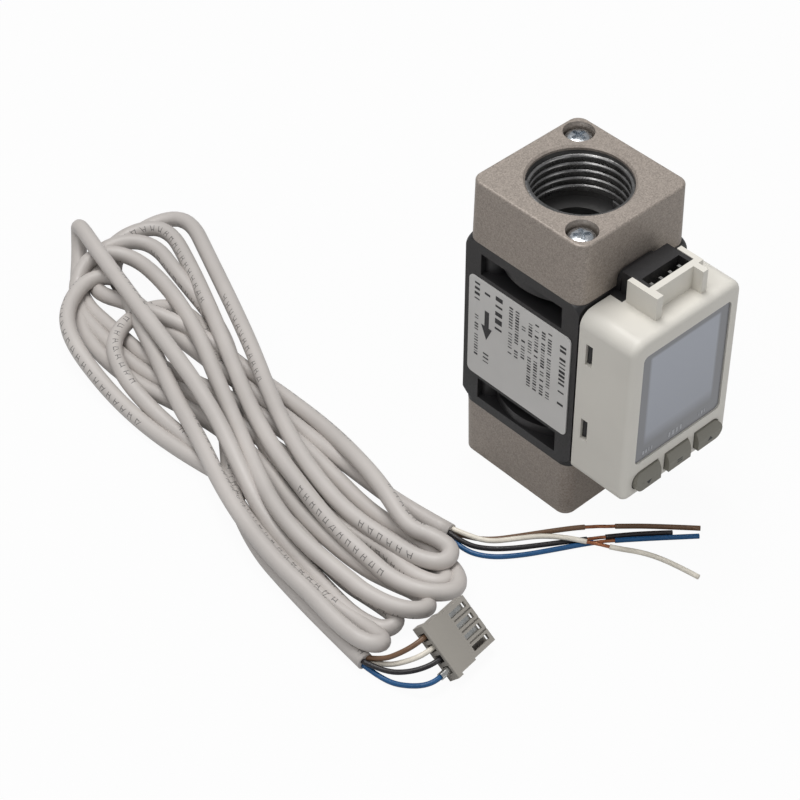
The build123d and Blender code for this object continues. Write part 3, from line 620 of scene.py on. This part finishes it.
def add_tube(build, points, radius, sides, material_index=0, flutes=0, lay=0.0):
    """Adds a capped tube to the lists of a mesh. Flutes give it the ridges of twisted strands."""
    first = len(build["vertices"])
    lengths = line_lengths(points)
    for point, (direction, side), length in zip(points, line_frames(points), lengths):
        across = direction.cross(side)
        for step in range(sides):
            angle = 2 * math.pi * step / sides
            reach = radius
            if flutes:
                reach *= 1 + FLUTE_DEPTH * math.cos(flutes * angle - lay * length)
            build["vertices"].append(point + (side * math.cos(angle) + across * math.sin(angle)) * reach)
    rings = len(points)
    for ring in range(rings - 1):
        for step in range(sides):
            low, high = first + ring * sides, first + (ring + 1) * sides
            after = (step + 1) % sides
            build["faces"].append((low + step, low + after, high + after, high + step))
            build["materials"].append(material_index)
            start, end = lengths[ring], lengths[ring + 1]
            left, right = step / sides, (step + 1) / sides
            build["uv"] += [(start, left), (start, right), (end, right), (end, left)]
    last = first + (rings - 1) * sides
    build["faces"].append(tuple(first + step for step in reversed(range(sides))))
    build["faces"].append(tuple(last + step for step in range(sides)))
    build["materials"] += [material_index, material_index]
    build["uv"] += [(0.0, 0.0)] * (2 * sides)


def new_build():
    return {"vertices": [], "faces": [], "uv": [], "materials": []}


def add_object(name, mesh):
    piece = bpy.data.objects.new(name, mesh)
    bpy.context.scene.collection.objects.link(piece)
    return piece


def build_piece(name, build, materials):
    """A piece from the lists of a mesh."""
    mesh = bpy.data.meshes.new(name)
    mesh.from_pydata([tuple(vertex) for vertex in build["vertices"]], [], build["faces"])
    layer = mesh.uv_layers.new(name="along")
    for loop, place in zip(layer.data, build["uv"]):
        loop.uv = place
    for material in materials:
        mesh.materials.append(material)
    for polygon, index in zip(mesh.polygons, build["materials"]):
        polygon.material_index = index
        polygon.use_smooth = len(polygon.vertices) == 4
    mesh.update()
    return add_object(name, mesh)


def leg_points(leg, levels):
    """Control points of a leg of the hank, from its places at the levels and its height or heights."""
    places, heights = leg
    if isinstance(heights, float):
        heights = [heights] * len(places)
    return list(zip(places, levels, heights))


def hank_route():
    """Control points of the whole lead, turn by turn, in millimetres."""
    route = list(FREE_END)
    for turn in HANK_TURNS:
        route += leg_points(turn["up"], turn.get("up_levels", LEG_LEVELS[::-1]))
        route += turn["head"]
        route += leg_points(turn["down"], turn.get("down_levels", LEG_LEVELS))
        route += turn["foot"]
    return route + PLUG_END


def plug_point(along, across):
    """A point in the plug's middle plane, in millimetres, from its corner."""
    x_axis = Vector((math.cos(PLUG_TURN), math.sin(PLUG_TURN), 0.0))
    z_axis = Vector((
        math.sin(PLUG_LEAN) * math.sin(PLUG_TURN), -math.sin(PLUG_LEAN) * math.cos(PLUG_TURN), math.cos(PLUG_LEAN)
    ))
    y_axis = z_axis.cross(x_axis)
    return PLUG_CORNER + x_axis * along + y_axis * across + z_axis * PLUG_HALF_THICKNESS


class FLOWSWITCH_OT_plug_cores(Operator):
    """Add the four core wires between the sheath and the plug"""

    bl_idname = "flowswitch.plug_cores"
    bl_label = "Plug core wires"

    def execute(self, context):
        rows = {colour: index - 1.5 for index, colour in enumerate(("blue", "black", "white", "brown"))}
        for colour, route in PLUG_CORES.items():
            across = PLUG_MIDDLE + rows[colour] * PLUG_PITCH
            mouth = PLUG_CRIMP_START - (PLUG_BLUE_PULLED if colour == "blue" else 0.0)
            ends = [plug_point(mouth - PLUG_CRIMP_STRAIGHT, across), plug_point(mouth, across)]
            build = new_build()
            line = smooth_line([*route, *(tuple(end) for end in ends)])
            add_tube(build, line, sizes().core_diameter / 2, CORE_SIDES)
            piece = build_piece(f"plug_core_{colour}", build, [insulation_material(colour)])
            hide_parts(f"plug_wire_{colour}")
            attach(piece, "root")
        return {"FINISHED"}


class FLOWSWITCH_OT_lead(Operator):
    """Add the sheathed lead, folded into its hank"""

    bl_idname = "flowswitch.lead"
    bl_label = "Lead"

    def execute(self, context):
        diameter = sizes().lead_diameter
        line = smooth_line(hank_route(), 8)
        build = new_build()
        add_tube(build, line, diameter / 2, sizes().tube_sides)
        lead = build_piece("lead", build, [sheath_material()])
        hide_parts("cable_hank", "cable_free_end", "cable_plug_end")
        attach(lead, "root")
        return {"FINISHED"}


class FLOWSWITCH_OT_free_cores(Operator):
    """Add the four core wires at the free end, with their bared copper"""

    bl_idname = "flowswitch.free_cores"
    bl_label = "Free core wires"

    def execute(self, context):
        diameter = sizes().core_diameter
        for colour, route in FREE_CORES.items():
            line = smooth_line(route)
            total = line_lengths(line)[-1]
            start, end = (value * MM for value in BARE_STRETCH[colour])
            build = new_build()
            add_tube(build, cut_line(line, 0.0, start), diameter / 2, CORE_SIDES)
            add_tube(build, cut_line(line, end, total), diameter / 2, CORE_SIDES)
            bare = cut_line(line, start - MM, end + MM)
            add_tube(build, bare, sizes().strand_diameter / 2, COPPER_SIDES, 1, COPPER_FLUTES, COPPER_LAY)
            piece = build_piece(f"free_core_{colour}", build, [insulation_material(colour), copper_material()])
            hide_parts(f"free_wire_{colour}")
            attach(piece, "root")
        return {"FINISHED"}


# Pieces made by Geometry Nodes

def new_geometry_tree(name, inputs):
    """A geometry tree with the given inputs and their defaults, and an input for its material."""
    tree = bpy.data.node_groups.new(name, "GeometryNodeTree")
    tree.interface.new_socket("Geometry", in_out="OUTPUT", socket_type="NodeSocketGeometry")
    for label, value in inputs.items():
        kind = "NodeSocketInt" if isinstance(value, int) else "NodeSocketFloat"
        tree.interface.new_socket(label, in_out="INPUT", socket_type=kind).default_value = value
    tree.interface.new_socket("Material", in_out="INPUT", socket_type="NodeSocketMaterial")
    return tree, tree.nodes.new("NodeGroupInput").outputs, tree.nodes.new("NodeGroupOutput").inputs


def finish_tree(tree, geometry, given, result):
    real = add_node(tree, "GeometryNodeRealizeInstances", {"Geometry": geometry}).outputs[0]
    dressed = add_node(tree, "GeometryNodeSetMaterial", {"Geometry": real, "Material": given["Material"]})
    tree.links.new(dressed.outputs[0], result["Geometry"])


def run_tree(name, tree, values):
    """A piece that is the tree's result as a mesh, with the given values for its inputs."""
    piece = add_object(name, bpy.data.meshes.new(name))
    modifier = piece.modifiers.new("build", "NODES")
    modifier.node_group = tree
    identifiers = {socket.name: socket.identifier for socket in tree.interface.items_tree}
    for label, value in values.items():
        modifier[identifiers[label]] = value
    graph = bpy.context.evaluated_depsgraph_get()
    mesh = bpy.data.meshes.new_from_object(piece.evaluated_get(graph))
    piece.modifiers.remove(modifier)
    piece.data = mesh
    return piece


def place_mesh(piece, matrix):
    """Moves the piece's mesh, so that the piece itself stays at the origin."""
    piece.data.transform(matrix)
    piece.data.update()


def thread_tree():
    """A ridge that winds up the Z axis: turns, height, the radius of its middle and its section's radius."""
    tree, given, result = new_geometry_tree(
        "port_thread", {"Turns": 6.0, "Height": 0.01, "Middle": 0.01, "Ridge": 0.001}
    )
    spiral = add_node(tree, "GeometryNodeCurveSpiral", {
        "Resolution": 72, "Rotations": given["Turns"], "Start Radius": given["Middle"],
        "End Radius": given["Middle"], "Height": given["Height"],
    })
    section = add_node(tree, "GeometryNodeCurvePrimitiveCircle", {"Resolution": 3, "Radius": given["Ridge"]})
    turned = add_node(tree, "GeometryNodeTransform", {
        "Geometry": section.outputs[0], "Rotation": (0.0, 0.0, math.pi),
    })
    upright = add_node(tree, "GeometryNodeSetCurveNormal", {"Curve": spiral.outputs[0]}, mode="Z_UP")
    ridge = add_node(tree, "GeometryNodeCurveToMesh", {
        "Curve": upright.outputs[0], "Profile Curve": turned.outputs[0], "Fill Caps": True,
    })
    finish_tree(tree, ridge.outputs[0], given, result)
    return tree


class FLOWSWITCH_OT_port_threads(Operator):
    """Add the pipe threads of both ports"""

    bl_idname = "flowswitch.port_threads"
    bl_label = "Port threads"

    def execute(self, context):
        tree = thread_tree()
        height = THREAD_END - THREAD_START
        metal = finish_material(
            "thread_metal", colours().thread_metal, 0.3, grain=900.0, bump=0.1, mottle=400.0, variation=0.2,
            metallic=0.85,
        )
        values = {
            "Turns": height / sizes().thread_pitch, "Height": height,
            "Middle": sizes().thread_tip + sizes().thread_ridge, "Ridge": sizes().thread_ridge, "Material": metal,
        }
        upright = Matrix.Translation((0.0, 0.0, INLET_FLOOR + THREAD_START))
        turned_over = Matrix.Rotation(math.pi, 4, "X") @ Matrix.Translation((0.0, 0.0, THREAD_START - OUTLET_FLOOR))
        for port, matrix in (("inlet", upright), ("outlet", turned_over)):
            piece = run_tree(f"{port}_thread", tree, values)
            place_mesh(piece, matrix)
            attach(piece, "root")
        return {"FINISHED"}


def screw_head_tree():
    """A round head whose top is a fine grid, pressed in where the cross recess is."""
    tree, given, result = new_geometry_tree("screw_head", {
        "Radius": 0.0027, "Rise": 0.0006, "Cross Span": 0.0032, "Cross Width": 0.0008, "Cross Depth": 0.001,
    })
    act = partial(math_node, tree)
    across = act("MULTIPLY", given["Radius"], 2.0)
    grid = add_node(tree, "GeometryNodeMeshGrid", {
        "Size X": across, "Size Y": across, "Vertices X": 73, "Vertices Y": 73,
    })
    position = add_node(tree, "GeometryNodeInputPosition").outputs[0]
    parts = split(tree, position)
    x, y = parts[0], parts[1]
    size_x, size_y = act("ABSOLUTE", x), act("ABSOLUTE", y)
    distance = act("SQRT", act("ADD", act("MULTIPLY", x, x), act("MULTIPLY", y, y)))
    share = act("DIVIDE", distance, given["Radius"])
    crown = act("MULTIPLY", act("SUBTRACT", 1.0, act("POWER", share, 4.0)), given["Rise"])
    long_side = act("LESS_THAN", act("MAXIMUM", size_x, size_y), act("MULTIPLY", given["Cross Span"], 0.5))
    short_side = act("LESS_THAN", act("MINIMUM", size_x, size_y), act("MULTIPLY", given["Cross Width"], 0.5))
    pressed = act("MULTIPLY", act("MULTIPLY", long_side, short_side), given["Cross Depth"])
    lift = add_node(tree, "ShaderNodeCombineXYZ", {"Z": act("SUBTRACT", crown, pressed)})
    shaped = add_node(tree, "GeometryNodeSetPosition", {"Geometry": grid.outputs[0], "Offset": lift.outputs[0]})
    outside = act("GREATER_THAN", distance, given["Radius"])
    trimmed = add_node(tree, "GeometryNodeDeleteGeometry", {"Geometry": shaped.outputs[0], "Selection": outside})
    finish_tree(tree, trimmed.outputs[0], given, result)
    return tree


class FLOWSWITCH_OT_screw_heads(Operator):
    """Add the crowned heads of the four screws"""

    bl_idname = "flowswitch.screw_heads"
    bl_label = "Screw heads"

    def execute(self, context):
        tree = screw_head_tree()
        plating = bpy.data.materials["screw_plating_finish"]
        for port in ("inlet", "outlet"):
            for number in (1, 2):
                low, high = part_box(f"{port}_screw_{number}")
                x, y = (low[0] + high[0]) / 2, (low[1] + high[1]) / 2
                up = 1 if port == "inlet" else -1
                top = high[2] if up > 0 else low[2]
                head = run_tree(f"{port}_screw_head_{number}", tree, {"Material": plating})
                lift = Matrix.Translation((x, y, top + up * SCREW_HEAD_LIFT))
                flip = Matrix.Identity(4) if up > 0 else Matrix.Rotation(math.pi, 4, "X")
                place_mesh(head, lift @ flip @ Matrix.Rotation(math.radians(20.0 + 35.0 * number), 4, "Z"))
                for polygon in head.data.polygons:
                    polygon.use_smooth = False
                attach(head, "root")
        return {"FINISHED"}


def print_tree():
    """Rows of plain bars: a row for each step along Y, each with a few bars of uneven length along X."""
    tree, given, result = new_geometry_tree("print_rows", {
        "Rows": 5, "Row Pitch": 0.001, "Bars": 8, "Bar Pitch": 0.001, "Bar Height": 0.0005, "Seed": 1,
    })
    step = add_node(tree, "ShaderNodeCombineXYZ", {"X": given["Bar Pitch"]})
    across = add_node(tree, "GeometryNodeMeshLine", {"Count": given["Bars"], "Offset": step.outputs[0]})
    drop = add_node(tree, "ShaderNodeCombineXYZ", {"Y": math_node(tree, "MULTIPLY", given["Row Pitch"], -1.0)})
    rows = add_node(tree, "GeometryNodeMeshLine", {"Count": given["Rows"], "Offset": drop.outputs[0]})
    sheet = add_node(tree, "GeometryNodeInstanceOnPoints", {
        "Points": rows.outputs[0], "Instance": across.outputs[0],
    })
    spots = add_node(tree, "GeometryNodeRealizeInstances", {"Geometry": sheet.outputs[0]})
    bar = add_node(tree, "GeometryNodeMeshGrid", {"Size X": 1.0, "Size Y": 1.0, "Vertices X": 2, "Vertices Y": 2})
    span = add_node(tree, "FunctionNodeRandomValue", {2: 0.2, 3: 0.7, "Seed": given["Seed"]}, data_type="FLOAT")
    width = math_node(tree, "MULTIPLY", given["Bar Pitch"], span.outputs[1])
    size = add_node(tree, "ShaderNodeCombineXYZ", {"X": width, "Y": given["Bar Height"], "Z": 1.0})
    present = add_node(
        tree, "FunctionNodeRandomValue", {"Probability": 0.86, "Seed": given["Seed"]}, data_type="BOOLEAN"
    )
    bars = add_node(tree, "GeometryNodeInstanceOnPoints", {
        "Points": spots.outputs[0], "Instance": bar.outputs[0], "Scale": size.outputs[0],
        "Selection": present.outputs[3],
    })
    finish_tree(tree, bars.outputs[0], given, result)
    return tree


def flat_piece(name, outlines, material):
    """Flat outlines in the XY plane as one mesh."""
    vertices, faces = [], []
    for outline in outlines:
        faces.append(tuple(range(len(vertices), len(vertices) + len(outline))))
        vertices += [(x * MM, y * MM, 0.0) for x, y in outline]
    mesh = bpy.data.meshes.new(name)
    mesh.from_pydata(vertices, [], faces)
    mesh.materials.append(material)
    return add_object(name, mesh)


def join_pieces(name, pieces, material):
    """One piece, in one material, of several meshes that are already in place."""
    vertices, faces = [], []
    for piece in pieces:
        first = len(vertices)
        vertices += [tuple(vertex.co) for vertex in piece.data.vertices]
        faces += [tuple(first + index for index in polygon.vertices) for polygon in piece.data.polygons]
    mesh = bpy.data.meshes.new(name)
    mesh.from_pydata(vertices, [], faces)
    mesh.materials.append(material)
    for piece in pieces:
        bpy.data.objects.remove(piece)
    return add_object(name, mesh)


def ink_material():
    return finish_material("print_ink", colours().print_ink, 0.5, grain=3000.0, bump=0.02, mottle=300.0)


def print_blocks(name, blocks, ink, outlines=()):
    """One piece with blocks of printed bars, and with flat outlines. Places and sizes are in millimetres.

    A block is its top left corner, rows, row pitch, bars, bar pitch, bar height and seed.
    """
    tree = print_tree()
    pieces = []
    for (x, y), rows, row_pitch, bars, bar_pitch, height, seed in blocks:
        block = run_tree("block", tree, {
            "Rows": rows, "Row Pitch": row_pitch * MM, "Bars": bars, "Bar Pitch": bar_pitch * MM,
            "Bar Height": height * MM, "Seed": seed, "Material": ink,
        })
        place_mesh(block, Matrix.Translation((x * MM, y * MM, 0.0)))
        pieces.append(block)
    if outlines:
        pieces.append(flat_piece("outlines", outlines, ink))
    return join_pieces(name, pieces, ink)


class FLOWSWITCH_OT_plate_print(Operator):
    """Print plain bars and a flow arrow on the name plate"""

    bl_idname = "flowswitch.plate_print"
    bl_label = "Name plate print"

    def execute(self, context):
        printed = print_blocks("plate_print", PLATE_BLOCKS, ink_material(), FLOW_ARROW)
        # Print X runs down the plate, print Y towards the display and print Z out of it
        turn = Matrix(((0, 0, -1, 0), (0, -1, 0, 0), (-1, 0, 0, 0), (0, 0, 0, 1)))
        low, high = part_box("name_plate")
        middle = (Vector(low) + Vector(high)) / 2
        face = Vector((low[0] - sizes().print_height, middle.y, middle.z))
        place_mesh(printed, Matrix.Translation(face) @ turn)
        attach(printed, "root")
        return {"FINISHED"}


class FLOWSWITCH_OT_front_print(Operator):
    """Print faint bars along the pane's foot and a plain mark on each button"""

    bl_idname = "flowswitch.front_print"
    bl_label = "Pane and button marks"

    def execute(self, context):
        upright = Matrix.Rotation(math.pi / 2, 4, "X")
        pale = finish_material("pane_marks", paint(170, 172, 176), 0.3, grain=3000.0, bump=0.02, mottle=300.0)
        marks = print_blocks("pane_marks", PANE_BLOCKS, pale)
        low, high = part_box("display_window")
        face = Vector((0.0, low[1] - sizes().print_height, low[2] + PANE_MARK_RISE))
        place_mesh(marks, Matrix.Translation(face) @ upright)
        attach(marks, "root")
        for button, outlines in BUTTON_MARKS.items():
            mark = flat_piece(f"{button}_mark", outlines, ink_material())
            low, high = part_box(f"button_{button}")
            height = (low[2] + high[2]) / 2 - BUTTON_MARK_DROP
            seat = Vector(((low[0] + high[0]) / 2, low[1] - sizes().print_height, height))
            place_mesh(mark, Matrix.Translation(seat) @ upright)
            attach(mark, f"button_{button}")
        return {"FINISHED"}


def dress(material, *nodes):
    """Gives the material to the solids with those names."""
    for node in nodes:
        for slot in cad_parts[node].material_slots:
            slot.link = "OBJECT"
            slot.material = material


class FLOWSWITCH_OT_finishes(Operator):
    """Give every solid its finish"""

    bl_idname = "flowswitch.finishes"
    bl_label = "Finishes"

    def execute(self, context):
        tints = colours()
        dress(block_coat_material(), "inlet_port_block", "outlet_port_block")
        dress(
            finish_material("screw_plating", tints.screw_plating, 0.25, grain=2600.0, bump=0.1, mottle=500.0,
                            variation=0.1, metallic=1.0),
            "inlet_screw_1", "inlet_screw_2", "outlet_screw_1", "outlet_screw_2",
        )
        dress(
            finish_material("black_plastic", tints.black_plastic, 0.42, grain=2200.0, bump=0.14, mottle=80.0),
            "sensor_body", "connector_shroud", "flow_sensing_chip", "switch_down", "switch_set", "switch_up",
        )
        dress(
            finish_material("ivory_plastic", tints.ivory_plastic, 0.42, grain=2600.0, bump=0.06, mottle=50.0,
                            variation=0.03),
            "display_housing",
        )
        dress(
            finish_material("plate_film", tints.plate_film, 0.4, grain=5000.0, bump=0.03, mottle=70.0,
                            variation=0.03, coat=0.15),
            "name_plate",
        )
        dress(
            finish_material("button_rubber", tints.button_rubber, 0.5, grain=2400.0, bump=0.12, variation=0.06),
            "button_down", "button_set", "button_up",
        )
        dress(
            finish_material("contact_tin", tints.tin, 0.24, grain=3500.0, bump=0.08, mottle=600.0,
                            variation=0.12, metallic=0.95),
            *(f"contact_pin_{number}" for number in range(1, 5)),
            *(f"plug_terminal_{colour}" for colour in PLUG_CORES),
        )
        dress(
            finish_material("plug_plastic", tints.plug_plastic, 0.45, grain=2400.0, bump=0.1, variation=0.05),
            "plug_housing",
        )
        dress(
            finish_material("board_mask", tints.board, 0.35, grain=2600.0, bump=0.1, mottle=300.0, variation=0.15),
            "sensor_circuit_board", "main_circuit_board",
        )
        dress(
            finish_material("seal_rubber", paint(26, 26, 27), 0.6, grain=1800.0, bump=0.15),
            "inlet_seal", "outlet_seal", "sensor_gasket",
        )
        dress(
            finish_material("white_plastic", paint(214, 212, 206), 0.45, grain=2400.0, bump=0.06, variation=0.04),
            "flow_restrictor", "backlight",
        )
        dress(
            finish_material("display_glass", paint(120, 124, 128), 0.15, grain=900.0, bump=0.02, variation=0.05),
            "display_glass",
        )
        dress(pane_material(), "display_window")
        return {"FINISHED"}


def seen_directly(tree):
    """1 for rays from the camera or through something clear, else 0."""
    path = add_node(tree, "ShaderNodeLightPath").outputs
    return math_node(tree, "ADD", path["Is Camera Ray"], path["Is Transmission Ray"])


class FLOWSWITCH_OT_stage(Operator):
    """Set the white floor, the soft light and the camera"""

    bl_idname = "flowswitch.stage"
    bl_label = "Stage"

    def execute(self, context):
        scene = context.scene
        scene.view_settings.view_transform = "Standard"
        mesh = bpy.data.meshes.new("floor")
        corners = [(x * FLOOR_REACH, y * FLOOR_REACH, 0) for x, y in ((-1, -1), (1, -1), (1, 1), (-1, 1))]
        mesh.from_pydata(corners, [], [(0, 1, 2, 3)])
        floor = add_object("floor", mesh)
        material = bpy.data.materials.new("floor_white")
        material.use_nodes = True
        tree = material.node_tree
        tree.nodes.clear()
        matt = add_node(tree, "ShaderNodeBsdfDiffuse", {"Color": (FLOOR_GREY, FLOOR_GREY, FLOOR_GREY, 1.0)})
        bright = add_node(tree, "ShaderNodeEmission", {"Color": (1.0, 1.0, 1.0, 1.0), "Strength": 1.0})
        share = math_node(tree, "MULTIPLY", seen_directly(tree), FLOOR_WHITE_SHARE)
        blend = add_node(tree, "ShaderNodeMixShader", {0: share, 1: matt.outputs[0], 2: bright.outputs[0]})
        add_node(tree, "ShaderNodeOutputMaterial", {"Surface": blend.outputs[0]})
        mesh.materials.append(material)

        world = bpy.data.worlds.new("studio")
        world.use_nodes = True
        tree = world.node_tree
        tree.nodes.clear()
        soft = add_node(tree, "ShaderNodeBackground", {"Color": (0.95, 0.97, 1.0, 1.0), "Strength": WORLD_LIGHT})
        white = add_node(tree, "ShaderNodeBackground", {"Color": (1.0, 1.0, 1.0, 1.0), "Strength": 1.0})
        blend = add_node(
            tree, "ShaderNodeMixShader", {0: seen_directly(tree), 1: soft.outputs[0], 2: white.outputs[0]}
        )
        add_node(tree, "ShaderNodeOutputWorld", {"Surface": blend.outputs[0]})
        scene.world = world

        for name, place, size, power in LAMPS:
            light = bpy.data.lights.new(name, "AREA")
            light.size = size
            light.energy = power
            lamp = add_object(name, light)
            lamp.location = place
            lamp.rotation_mode = "QUATERNION"
            lamp.rotation_quaternion = (LAMP_AIM - Vector(place)).to_track_quat("-Z", "Y")

        lens = bpy.data.cameras.new("camera")
        lens.sensor_width = CAMERA_SENSOR
        lens.lens = CAMERA_LENS
        lens.clip_start = 0.02
        lens.clip_end = 10.0
        camera = add_object("camera", lens)
        camera.location = CAMERA_PLACE
        camera.rotation_euler = (math.pi / 2 - CAMERA_PITCH, 0.0, -CAMERA_YAW)
        scene.camera = camera
        return {"FINISHED"}


class FLOWSWITCH_PT_panel(Panel):
    """Lists the operators and settings of the flow switch"""

    bl_idname = "FLOWSWITCH_PT_panel"
    bl_label = "Flow Switch"
    bl_space_type = "VIEW_3D"
    bl_region_type = "UI"
    bl_category = "Flow Switch"

    def draw(self, context):
        layout = self.layout
        for operator in OPERATORS:
            layout.operator(operator.bl_idname)
        for group in (context.scene.flow_switch_sizes, context.scene.flow_switch_colours):
            column = layout.column()
            for name in group.__annotations__:
                column.prop(group, name)


OPERATORS = [
    FLOWSWITCH_OT_stage,
    FLOWSWITCH_OT_plug_cores,
    FLOWSWITCH_OT_lead,
    FLOWSWITCH_OT_free_cores,
    FLOWSWITCH_OT_finishes,
    FLOWSWITCH_OT_port_threads,
    FLOWSWITCH_OT_screw_heads,
    FLOWSWITCH_OT_plate_print,
    FLOWSWITCH_OT_front_print,
]
CLASSES = [FlowSwitchSizes, FlowSwitchColours, *OPERATORS, FLOWSWITCH_PT_panel]


def register():
    for item in CLASSES:
        bpy.utils.register_class(item)
    bpy.types.Scene.flow_switch_sizes = PointerProperty(type=FlowSwitchSizes)
    bpy.types.Scene.flow_switch_colours = PointerProperty(type=FlowSwitchColours)


def unregister():
    del bpy.types.Scene.flow_switch_colours
    del bpy.types.Scene.flow_switch_sizes
    for item in reversed(CLASSES):
        bpy.utils.unregister_class(item)


def main():
    register()
    for operator in OPERATORS:
        group, name = operator.bl_idname.split(".")
        result = getattr(getattr(bpy.ops, group), name)()
        if result != {"FINISHED"}:
            raise RuntimeError(f"{operator.bl_idname} did not finish")
    bpy.context.view_layer.update()


if __name__ == "__main__":
    main()
